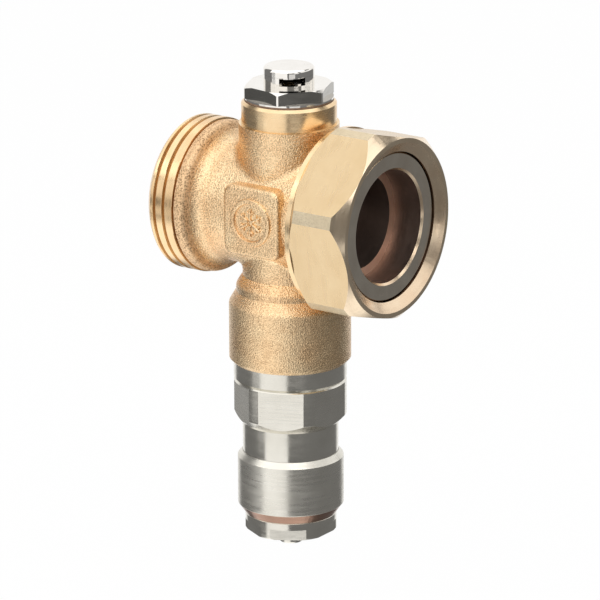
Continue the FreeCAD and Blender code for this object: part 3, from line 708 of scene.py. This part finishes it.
@dataclass
class Dressing:
    """Copy of one solid, with broken edges, painted face by face."""

    node: str
    body: str
    slot: str
    edge: float = 0.14 * MM
    edge_steps: int = 2
    piece: bpy.types.Object = field(init=False)

    def copy(self) -> None:
        """Copy the solid and join its triangles into one skin."""
        self.piece = bpy.data.objects.new(self.node + "_dressed", self.solid.data.copy())
        bpy.context.scene.collection.objects.link(self.piece)
        MeshBench.merge(self.piece)

    @property
    def solid(self) -> bpy.types.Object:
        """Solid that the dressing is copied from."""
        return frame["nodes"][self.node]

    def break_edges(self, test: PlaceTest = lambda place: True) -> None:
        """Break the edges that a test picks out."""
        MeshBench.bevel(self.piece, test, self.edge, self.edge_steps)

    def paint(self, base: bpy.types.Material, rubbed: bpy.types.Material,
              areas: list[tuple[bpy.types.Material, FaceTest]]) -> None:
        """Shade the worked copy like its solid and give each face its finish.

        Args:
            base: Finish of the faces that no area claims.
            rubbed: Finish of the broken edges; on the metals it is paler, as rubbed wear and a
                painted highlight.
            areas: Finishes with the test for their faces; the first that passes holds.
        """
        MeshBench.shade_like(self.piece, self.solid)
        mesh = self.piece.data
        mesh.materials.clear()
        for material in (base, rubbed, *(material for material, _ in areas)):
            mesh.materials.append(material)
        for face in mesh.polygons:
            if face.material_index != EDGE_SLOT:
                tests = enumerate(areas, start=EDGE_SLOT + 1)
                face.material_index = next(
                    (slot for slot, (_, test) in tests if test(face.center, face.normal)), 0)

    def hand_over(self) -> None:
        """Let the dressed copy stand for its solid."""
        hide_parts(self.node)
        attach(self.piece, self.body)
        LOG.info("%s: %d faces", self.piece.name, len(self.piece.data.polygons))


@dataclass
class PadMark:
    """Raised ring and six-armed frost star on the pad, cast with the body."""

    face: float = -14.1 * MM
    rise: float = 0.42 * MM
    sink: float = 0.25 * MM
    ring_inner: float = 3.85 * MM
    ring_outer: float = 5.25 * MM
    arm_start: float = 0.40 * MM
    arm_end: float = 3.10 * MM
    arm_width: float = 0.86 * MM
    barb_reach: float = 1.75 * MM
    barb_length: float = 1.15 * MM
    slope: float = 0.24 * MM
    arms: int = 6
    steps: int = 72
    first_arm: float = math.radians(30.0)
    barb_share: float = 0.8
    barb_angle: float = math.radians(52.0)
    crest_round: float = 0.09 * MM
    smooth_angle: float = math.radians(50.0)

    def start(self, name: str) -> bpy.types.Object:
        """Name the flat that was just added and open it for work.

        Args:
            name: Name of the piece.

        Returns:
            The piece.
        """
        piece = bpy.context.object
        piece.name = name
        MeshBench.take(piece)
        bpy.ops.object.mode_set(mode="EDIT")
        bpy.ops.mesh.select_all(action="SELECT")
        return piece

    def ring(self) -> bpy.types.Object:
        """Raise the ring.

        Returns:
            The ring.
        """
        bpy.ops.object.select_all(action="DESELECT")
        bpy.ops.mesh.primitive_circle_add(vertices=self.steps, radius=self.ring_outer)
        piece = self.start("pad_mark")
        middle = (self.ring_inner + self.ring_outer) / 2.0
        crest = (self.ring_outer - self.ring_inner) / 2.0 - self.slope
        radius = self.ring_outer
        lift = self.sink + self.rise
        for target, climb in ((middle + crest, lift), (middle - crest, 0.0),
                              (self.ring_inner, -lift)):
            bpy.ops.mesh.extrude_region_move(TRANSFORM_OT_translate={"value": (0.0, 0.0, climb)})
            bpy.ops.transform.resize(value=(target / radius, target / radius, 1.0))
            radius = target
        bpy.ops.object.mode_set(mode="OBJECT")
        return piece

    def bar(self, start: float, end: float, width: float) -> bpy.types.Object:
        """Raise one bar along X.

        Args:
            start: Where the bar starts.
            end: Where it ends.
            width: Its width.

        Returns:
            The bar.
        """
        bpy.ops.object.select_all(action="DESELECT")
        bpy.ops.mesh.primitive_plane_add(size=1.0)
        piece = self.start("star_bar")
        bpy.ops.transform.resize(value=(end - start, width, 1.0))
        bpy.ops.transform.translate(value=((start + end) / 2.0, 0.0, 0.0))
        lift = self.sink + self.rise
        bpy.ops.mesh.extrude_region_move(TRANSFORM_OT_translate={"value": (0.0, 0.0, lift)})
        narrow = (1.0 - 2.0 * self.slope / (end - start), 1.0 - 2.0 * self.slope / width, 1.0)
        bpy.ops.transform.resize(value=narrow)
        bpy.ops.object.mode_set(mode="OBJECT")
        return piece

    def turn(self, piece: bpy.types.Object, angle: float, reach: float) -> None:
        """Turn a piece of the star about the middle and move it out along X.

        Args:
            piece: Piece to turn.
            angle: Turn about the pad's normal.
            reach: Move along X after the turn.
        """
        MeshBench.take(piece)
        bpy.ops.object.mode_set(mode="EDIT")
        bpy.ops.mesh.select_all(action="SELECT")
        bpy.ops.transform.rotate(value=angle, orient_axis="Z", center_override=(0.0, 0.0, 0.0))
        bpy.ops.transform.translate(value=(reach, 0.0, 0.0))
        bpy.ops.object.mode_set(mode="OBJECT")

    def arm(self) -> bpy.types.Object:
        """Join one arm of the star from a bar and two barbs.

        Returns:
            The arm.
        """
        arm = self.bar(self.arm_start, self.arm_end, self.arm_width)
        for side in (1.0, -1.0):
            barb = self.bar(0.0, self.barb_length, self.arm_width * self.barb_share)
            self.turn(barb, side * self.barb_angle, self.barb_reach)
            self.join(arm, barb)
        return arm

    @staticmethod
    def join(piece: bpy.types.Object, other: bpy.types.Object) -> None:
        """Join another piece to this one."""
        MeshBench.take(piece)
        other.select_set(True)
        bpy.ops.object.join()

    def build(self, material: bpy.types.Material, body: str) -> None:
        """Raise the mark on the pad.

        Args:
            material: Finish of the body's casting.
            body: Body that the mark rides on.
        """
        mark = self.ring()
        pattern = self.arm()
        for count in range(self.arms):
            copy = bpy.data.objects.new("star_arm", pattern.data.copy())
            bpy.context.scene.collection.objects.link(copy)
            self.turn(copy, self.first_arm + count * math.tau / self.arms, 0.0)
            self.join(mark, copy)
        bpy.data.objects.remove(pattern)
        MeshBench.take(mark)
        bpy.ops.object.mode_set(mode="EDIT")
        bpy.ops.mesh.select_all(action="SELECT")
        bpy.ops.mesh.normals_make_consistent(inside=False)
        bpy.ops.transform.rotate(value=-math.pi / 2.0, orient_axis="X",
                                 center_override=(0.0, 0.0, 0.0))
        bpy.ops.transform.translate(value=(0.0, self.face + self.sink, 0.0))
        bpy.ops.object.mode_set(mode="OBJECT")
        MeshBench.apply(mark, "BEVEL", width=self.crest_round, segments=2,
                        limit_method="ANGLE")
        bpy.ops.object.shade_smooth_by_angle(angle=self.smooth_angle)
        mark.data.materials.clear()
        mark.data.materials.append(material)
        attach(mark, body)
        LOG.info("%s: %d faces", mark.name, len(mark.data.polygons))


@dataclass
class ValveBody(Dressing):
    """Cast body with its turned ends, its bores, its male thread and its pad."""

    node: str = "valve_body"
    body: str = "valve"
    slot: str = "cast_brass"
    edge: float = 0.12 * MM
    thread_end: float = -18.7 * MM
    thread_margin: float = 0.3 * MM
    collar_end: float = -15.5 * MM
    ridge_floor: float = 16.4 * MM
    ridge_margin: float = 0.05 * MM
    ridge_round: float = 0.50 * MM
    ridge_steps: int = 4
    male_chamfer: float = -24.2 * MM
    male_face: float = -25.4 * MM
    pad_reach: float = 8.2 * MM
    pad_front: float = -9.0 * MM
    pad_fillet: float = 0.55 * MM
    fillet_steps: int = 3
    face_of_pad: float = -13.8 * MM
    bell_top: float = -17.5 * MM
    seat_level: float = 18.65 * MM
    seat_margin: float = 0.4 * MM
    gap_start: float = 20.0 * MM
    gap_slant: float = 0.5
    edge_depth: float = 0.6 * MM
    tail_start: float = 13.4 * MM
    tail_face: float = 25.6 * MM
    tail_radius: float = 15.85 * MM
    bore: float = 12.6 * MM
    passage: float = 10.3 * MM
    boss_turned: float = 18.75 * MM
    upright_bore: float = 8.0 * MM

    def build(self, finishes: Finishes) -> None:
        """Dress the body.

        Args:
            finishes: Materials of the valve.
        """
        self.copy()
        MeshBench.bevel(self.piece, self.on_pad_foot, self.pad_fillet, self.fillet_steps,
                        outer=False)
        MeshBench.bevel(self.piece, self.on_ridge, self.ridge_round, self.ridge_steps)
        self.break_edges(lambda place: place.x > self.thread_end + self.ridge_margin)
        # Thread grooves and bore walls take darker finishes as painted shade, the tail's end
        # face a greyer one as a painted reflection, and the broken edges a paler one as rubbed
        # wear and a painted highlight.
        self.paint(finishes.cast, finishes.rubbed_brass_painted_highlight, [
            (finishes.faced_painted_reflection, lambda place, normal: (
                place.x > self.tail_face and normal.x > FACING)),
            (finishes.seat, self.on_seat),
            (finishes.mouth, self.on_bore_edge),
            (finishes.bore_painted_shade, self.in_gap),
            (finishes.passage, lambda place, normal: (
                self.in_bore(place, normal) and off_flow(place) < self.passage)),
            (finishes.tail_bore_painted_shade, self.in_bore),
            (finishes.groove_painted_shade, lambda place, normal: (
                self.male_chamfer < place.x < self.thread_end + self.thread_margin
                and off_flow(place) < self.ridge_floor)),
            (finishes.threaded, lambda place, normal: (
                place.x < self.thread_end + self.thread_margin)),
            (finishes.rough_cast, lambda place, normal: place.x < self.collar_end),
            (finishes.flow_turned, lambda place, normal: (
                place.x > self.tail_start and off_flow(place) < self.tail_radius)),
            (finishes.upright_turned, lambda place, normal: place.z > self.boss_turned),
            (finishes.fine_cast, lambda place, normal: place.z < self.bell_top),
        ])
        for face in self.piece.data.polygons:
            if face.material_index == EDGE_SLOT and self.on_pad_foot(face.center):
                face.material_index = 0
        self.hand_over()
        PadMark().build(finishes.cast, self.body)

    def on_ridge(self, place: Vector) -> bool:
        """Tell whether a place is on the crest of a thread ridge."""
        along = place.x < self.thread_end + self.ridge_margin
        return along and off_flow(place) > self.ridge_floor

    def on_pad_foot(self, place: Vector) -> bool:
        """Tell whether a place is where the pad rises from the barrel."""
        beside = max(abs(place.x), abs(place.z)) < self.pad_reach
        return beside and self.face_of_pad < place.y < self.pad_front

    def on_bore_edge(self, place: Vector, normal: Vector) -> bool:
        """Tell whether a face is the chamfer at the mouth of the tail's bore."""
        inward = from_flow(place, normal) < 0.0 and SLANT < normal.x < SLANT_END
        return inward and place.x > self.tail_face - self.edge_depth

    def in_gap(self, place: Vector, normal: Vector) -> bool:
        """Tell whether a face is the tail's outside, inside the nut."""
        outward = from_flow(place, normal) > 0.0 and abs(normal.x) < self.gap_slant
        return outward and place.x > self.gap_start

    def on_seat(self, place: Vector, normal: Vector) -> bool:
        """Tell whether a face is the step inside the tail."""
        near = abs(place.x - self.seat_level) < self.seat_margin
        return near and normal.x > FACING and off_flow(place) < self.bore

    def in_bore(self, place: Vector, normal: Vector) -> bool:
        """Tell whether a face lies inside the water passages."""
        along = off_flow(place) < self.bore and from_flow(place, normal) <= 0.0
        upright = off_upright(place) < self.upright_bore and from_upright(place, normal) < 0.0
        return (along and abs(normal.x) < FACING and place.x > self.male_face) or upright


@dataclass
class UnionNut(Dressing):
    """Six-sided union nut."""

    node: str = "union_nut"
    body: str = "nut"
    slot: str = "turned_brass"
    edge: float = 0.18 * MM
    flat_reach: float = 19.0 * MM
    flat_margin: float = 0.1 * MM
    corner_reach: float = 21.2 * MM
    corner_margin: float = 0.15 * MM

    def build(self, finishes: Finishes) -> None:
        """Dress the nut.

        Args:
            finishes: Materials of the valve.
        """
        self.copy()
        self.break_edges()
        # The flats and the bore take darkened finishes as painted shade, and the broken edges a
        # paler one as rubbed wear and a painted highlight.
        self.paint(finishes.flow_turned, finishes.rubbed_brass_painted_highlight, [
            (finishes.milled_painted_shade, self.on_flat),
            (finishes.blasted, self.on_corner),
            (finishes.mouth, self.in_mouth),
            (finishes.bore_painted_shade, self.in_thread),
            (finishes.chamfered, lambda place, normal: abs(normal.x) > SLANT),
        ])
        self.hand_over()

    def on_flat(self, place: Vector, normal: Vector) -> bool:
        """Tell whether a face is one of the six flats."""
        off = abs(from_flow(place, normal) - self.flat_reach)
        return abs(normal.x) < BESIDE and off < self.flat_margin

    def in_thread(self, place: Vector, normal: Vector) -> bool:
        """Tell whether a face is in the nut's bore."""
        return from_flow(place, normal) < 0.0 and abs(normal.x) < SLANT

    def in_mouth(self, place: Vector, normal: Vector) -> bool:
        """Tell whether a face is the chamfer inside the nut's mouth."""
        return from_flow(place, normal) < 0.0 and SLANT < normal.x < SLANT_END

    def on_corner(self, place: Vector, normal: Vector) -> bool:
        """Tell whether a face is a round strip between two flats."""
        off = abs(off_flow(place) - self.corner_reach)
        return abs(normal.x) < SLANT and off < self.corner_margin


@dataclass
class VacuumBreaker:
    """Nickel-plated vacuum breaker on the top boss."""

    body: str = "valve"
    crown: float = 5.1 * MM
    ledge: float = 22.0 * MM
    cap_level: float = 29.5 * MM
    hexagon_flat: float = 8.5 * MM
    flat_margin: float = 0.05 * MM
    hexagon_corner: float = 9.55 * MM
    corner_round: float = 0.34 * MM
    corner_steps: int = 3

    def build(self, finishes: Finishes) -> None:
        """Dress the breaker's body, cap and gasket.

        Args:
            finishes: Materials of the valve.
        """
        for node, slot, material, rubbed, edge in (
                ("breaker_body", "nickel", finishes.bright_nickel, finishes.rubbed_nickel_painted_highlight, 0.10),
                ("breaker_cap", "nickel", finishes.bright_nickel, finishes.rubbed_nickel_painted_highlight, 0.06),
                ("breaker_gasket", "seal_rubber", finishes.fibre, finishes.fibre, 0.08)):
            shell = Dressing(node, self.body, slot, edge * MM)
            shell.copy()
            MeshBench.bevel(shell.piece, self.on_corner, self.corner_round, self.corner_steps)
            shell.break_edges(lambda place: not self.on_corner(place))
            # The chamber and windows take a near-black finish and the flats a dark one, both as
            # painted shade; the nickel's edges a paler one as rubbed wear and a painted
            # highlight.
            shell.paint(material, rubbed, [(finishes.hollow_painted_shade, self.inside),
                                           (finishes.nickel_flats_painted_shade, self.on_flat)])
            shell.hand_over()

    def on_corner(self, place: Vector) -> bool:
        """Tell whether a place is on an upright corner of the hexagon."""
        return off_upright(place) > self.hexagon_corner

    def inside(self, place: Vector, normal: Vector) -> bool:
        """Tell whether a face lies in the spring chamber or in a window."""
        inward = from_upright(place, normal) <= 0.0 and abs(normal.z) < FACING
        hollow = self.ledge < place.z < self.cap_level
        return hollow and off_upright(place) < self.crown and inward

    def on_flat(self, place: Vector, normal: Vector) -> bool:
        """Tell whether a face is one of the six flats."""
        off = abs(from_upright(place, normal) - self.hexagon_flat)
        return abs(normal.z) < BESIDE and off < self.flat_margin


@dataclass
class DrainCartridge:
    """Nickel-plated drain cartridge under the body."""

    hexagon_top: float = -37.6 * MM
    hexagon_foot: float = -46.8 * MM
    hexagon_flat: float = 11.0 * MM
    flat_margin: float = 0.05 * MM
    cone_top: float = -65.0 * MM

    def build(self, finishes: Finishes) -> None:
        """Dress the housing, the sleeve, the outlet and the shutter.

        Args:
            finishes: Materials of the valve.
        """
        for node, body, edge, base, areas in (
                ("cartridge_housing", "valve", 0.14, finishes.nickel,
                 [(finishes.milled_nickel, self.on_flat)]),
                ("drain_sleeve", "valve", 0.10, finishes.satin_nickel,
                 [(finishes.bronze, self.on_cone)]),
                ("drain_outlet_nut", "valve", 0.12, finishes.nickel, []),
                ("drain_shutter", "shutter", 0.10, finishes.nickel, [])):
            shell = Dressing(node, body, "nickel", edge * MM)
            shell.copy()
            shell.break_edges()
            # Broken edges take a paler finish as rubbed wear and a painted highlight.
            shell.paint(base, finishes.rubbed_nickel_painted_highlight, areas)
            shell.hand_over()

    def on_flat(self, place: Vector, normal: Vector) -> bool:
        """Tell whether a face is one of the housing's six flats."""
        off = abs(from_upright(place, normal) - self.hexagon_flat)
        level = self.hexagon_foot < place.z < self.hexagon_top
        return level and abs(normal.z) < BESIDE and off < self.flat_margin

    def on_cone(self, place: Vector, normal: Vector) -> bool:
        """Tell whether a face is on the sleeve's foot cone."""
        return place.z < self.cone_top and -FACING < normal.z < -SLANT


@dataclass
class CoilSpring(Dressing):
    """Coil spring between its foot and the piece that it pushes."""

    body: str = "valve"
    slot: str = "spring_steel"
    mover: str = field(kw_only=True)

    def build(self, finishes: Finishes) -> None:
        """Copy the coil and paint it.

        Args:
            finishes: Materials of the valve.
        """
        self.copy()
        self.paint(finishes.steel, finishes.steel, [])
        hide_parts(self.node)
        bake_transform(self.piece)
        LOG.info("%s: %d faces", self.piece.name, len(self.piece.data.polygons))


class InnerPieces:
    """Solids that stay as they are and only take a finish."""

    def build(self, finishes: Finishes) -> None:
        """Give each solid that no copy stands for its material.

        Args:
            finishes: Materials of the valve.
        """
        by_slot = {
            "turned_brass": finishes.upright_turned,
            "nickel": finishes.nickel,
            "seal_rubber": finishes.rubber,
            "spring_steel": finishes.steel,
            "capsule_copper": finishes.copper,
        }
        for row in frame["record"]["subparts"]:
            solid = frame["nodes"][row["node"]]
            if solid.hide_render:
                continue
            solid.data.materials.clear()
            solid.data.materials.append(by_slot[row["material_slot"]])
            LOG.info("%s: solid kept", row["node"])


# Studio


@dataclass(frozen=True)
class Softbox:
    """Flat lamp that faces the valve."""

    name: str
    azimuth: float
    elevation: float
    distance: float
    width: float
    height: float
    radiance: float

    def hang(self, aim: Vector) -> None:
        """Hang the lamp.

        Args:
            aim: Point that the lamp faces.
        """
        level = math.radians(self.elevation)
        turn = math.radians(self.azimuth)
        away = Vector((math.cos(level) * math.cos(turn), math.cos(level) * math.sin(turn),
                       math.sin(level)))
        bpy.ops.object.light_add(type="AREA", location=aim + away * self.distance)
        lamp = bpy.context.object
        lamp.name = self.name
        lamp.rotation_euler = away.to_track_quat("Z", "Y").to_euler()
        lamp.data.shape = "RECTANGLE"
        lamp.data.size = self.width
        lamp.data.size_y = self.height
        lamp.data.energy = self.radiance * math.pi * self.width * self.height
        lamp.visible_camera = False


@dataclass
class Studio:
    """White studio with a pale floor, soft lamps and the camera."""

    floor_level: float = -88.0 * MM
    floor_width: float = 8.0
    floor_colour: Colour = (0.85, 0.85, 0.85)
    floor_glow: float = 0.97
    aim: Vector = field(default_factory=lambda: Vector((0.0, 0.0, -20.0 * MM)))
    camera_place: Vector = field(
        default_factory=lambda: Vector((648.24, -906.15, 315.9)) * MM)
    camera_right: Vector = field(default_factory=lambda: Vector((0.81514, 0.57924, -0.00418)))
    camera_up: Vector = field(default_factory=lambda: Vector((-0.16407, 0.23779, 0.95736)))
    camera_back: Vector = field(default_factory=lambda: Vector((0.55554, -0.77970, 0.28886)))
    lens: float = 330.0
    sensor: float = 36.0
    sight_end: float = 50.0
    room_level: float = 0.18
    backdrop_level: float = 1.0
    backdrop_rise: float = 0.2
    backdrop_fade: tuple[float, float] = (0.65, 0.82)
    low_level: float = 1.25
    low_fade: tuple[float, float] = (0.68, 0.82)
    low_sight: Vector = field(
        default_factory=lambda: Vector((-0.25, -0.25, -0.935)).normalized())
    softboxes: tuple[Softbox, ...] = (
        Softbox("key_softbox", -90.0, -4.0, 1.0, 1.08, 1.5, 0.88),
        Softbox("top_softbox", -100.0, 86.0, 1.0, 1.75, 1.75, 1.15),
        Softbox("right_front_softbox", -33.0, 43.0, 1.2, 0.75, 0.60, 1.40),
        Softbox("low_right_softbox", -21.0, 7.0, 1.2, 0.42, 0.40, 1.00),
        Softbox("front_softbox", -103.0, 37.0, 1.2, 1.95, 0.40, 1.45),
        Softbox("left_front_softbox", -131.0, 11.0, 1.2, 0.55, 0.46, 0.85),
        Softbox("left_card", -128.0, -13.7, 0.52, 0.16, 0.085, 0.75),
        Softbox("right_rear_softbox", 40.0, 29.0, 1.2, 1.70, 0.55, 0.85),
        Softbox("front_card", -40.0, -11.3, 0.42, 0.20, 0.06, 0.60),
    )

    def build(self) -> None:
        """Set the floor, the lamps, the surroundings and the camera."""
        self.lay_floor()
        for softbox in self.softboxes:
            softbox.hang(self.aim)
        self.light_room()
        self.set_camera()
        bpy.context.scene.view_settings.view_transform = "Standard"

    def lay_floor(self) -> None:
        """Lay the pale floor, which shows white and keeps a soft shadow."""
        bpy.ops.object.select_all(action="DESELECT")
        bpy.ops.mesh.primitive_plane_add(size=self.floor_width,
                                         location=(0.0, 0.0, self.floor_level))
        floor = bpy.context.object
        floor.name = "studio_floor"
        floor.visible_glossy = False
        floor.visible_shadow = False
        paint = bpy.data.materials.new("pale_floor")
        paint.use_nodes = True
        paint.node_tree.nodes.clear()
        bench = NodeBench(paint.node_tree)
        matt = bench.node("ShaderNodeBsdfDiffuse")
        matt.inputs["Color"].default_value = (*self.floor_colour, 1.0)
        seen = bench.node("ShaderNodeLightPath").outputs["Is Camera Ray"]
        bench.mix(bench.sum_up("MULTIPLY", seen, self.floor_glow), matt,
                  bench.node("ShaderNodeEmission"), "ShaderNodeOutputMaterial")
        floor.data.materials.append(paint)

    def light_room(self) -> None:
        """Light the room: white behind the valve, dim towards the camera."""
        world = bpy.data.worlds.new("studio_room")
        bpy.context.scene.world = world
        world.use_nodes = True
        world.node_tree.nodes.clear()
        bench = NodeBench(world.node_tree)
        away = Vector((-self.camera_back.x, -self.camera_back.y, self.backdrop_rise))
        behind = self.towards(bench, away.normalized(), self.backdrop_fade)
        below = self.towards(bench, self.low_sight, self.low_fade)
        room = bench.node("ShaderNodeBackground")
        bench.link(bench.sum_up("MAXIMUM", self.lit(bench, behind, self.backdrop_level),
                                self.lit(bench, below, self.low_level)), room.inputs["Color"])
        white = bench.node("ShaderNodeBackground")
        white.inputs["Color"].default_value = (1.0, 1.0, 1.0, 1.0)
        rays = bench.node("ShaderNodeLightPath").outputs
        mirrored = bench.sum_up("MAXIMUM", rays["Is Glossy Ray"], rays["Is Transmission Ray"])
        seen = bench.sum_up("MAXIMUM", rays["Is Camera Ray"],
                            bench.sum_up("MULTIPLY", mirrored, behind))
        bench.mix(seen, room, white, "ShaderNodeOutputWorld")

    @staticmethod
    def towards(bench: NodeBench, direction: Vector,
                fade: tuple[float, float]) -> bpy.types.NodeSocket:
        """Share of the room that lies towards a direction.

        Args:
            bench: Bench with the room's nodes.
            direction: Middle of the lit part.
            fade: Closeness to the direction at which the share leaves 0 and reaches 1.

        Returns:
            The share.
        """
        facing = bench.node("ShaderNodeVectorMath", operation="DOT_PRODUCT")
        facing.inputs[1].default_value = direction
        bench.link(bench.node("ShaderNodeTexCoord").outputs["Generated"], facing.inputs[0])
        share = bench.node("ShaderNodeMapRange", interpolation_type="SMOOTHSTEP")
        share.inputs["From Min"].default_value = fade[0]
        share.inputs["From Max"].default_value = fade[1]
        bench.link(facing.outputs["Value"], share.inputs["Value"])
        return share.outputs["Result"]

    def lit(self, bench: NodeBench, share: bpy.types.NodeSocket,
            top: float) -> bpy.types.NodeSocket:
        """Brightness of a lit part, from the room's level up to its own.

        Args:
            bench: Bench with the room's nodes.
            share: Share of the lit part.
            top: Level where the share is 1.

        Returns:
            The brightness.
        """
        level = bench.node("ShaderNodeMapRange")
        level.inputs["To Min"].default_value = self.room_level
        level.inputs["To Max"].default_value = top
        bench.link(share, level.inputs["Value"])
        return level.outputs["Result"]

    def set_camera(self) -> None:
        """Set the camera at the picture's viewing angle."""
        bpy.ops.object.camera_add()
        camera = bpy.context.object
        camera.name = "studio_camera"
        turn = Matrix((self.camera_right, self.camera_up, self.camera_back)).transposed()
        camera.matrix_world = Matrix.Translation(self.camera_place) @ turn.to_4x4()
        camera.data.lens = self.lens
        camera.data.sensor_width = self.sensor
        camera.data.sensor_fit = "HORIZONTAL"
        camera.data.clip_end = self.sight_end
        bpy.context.scene.camera = camera


def main() -> None:
    """Dress the valve piece by piece, then set the studio."""
    logging.basicConfig(level=logging.INFO, format="%(name)s %(message)s")
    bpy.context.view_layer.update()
    finishes = Finishes()
    ValveBody().build(finishes)
    UnionNut().build(finishes)
    VacuumBreaker().build(finishes)
    DrainCartridge().build(finishes)
    CoilSpring("return_spring", mover="shutter").build(finishes)
    CoilSpring("breaker_spring", mover="poppet").build(finishes)
    InnerPieces().build(finishes)
    Studio().build()


if __name__ == "__main__":
    main()
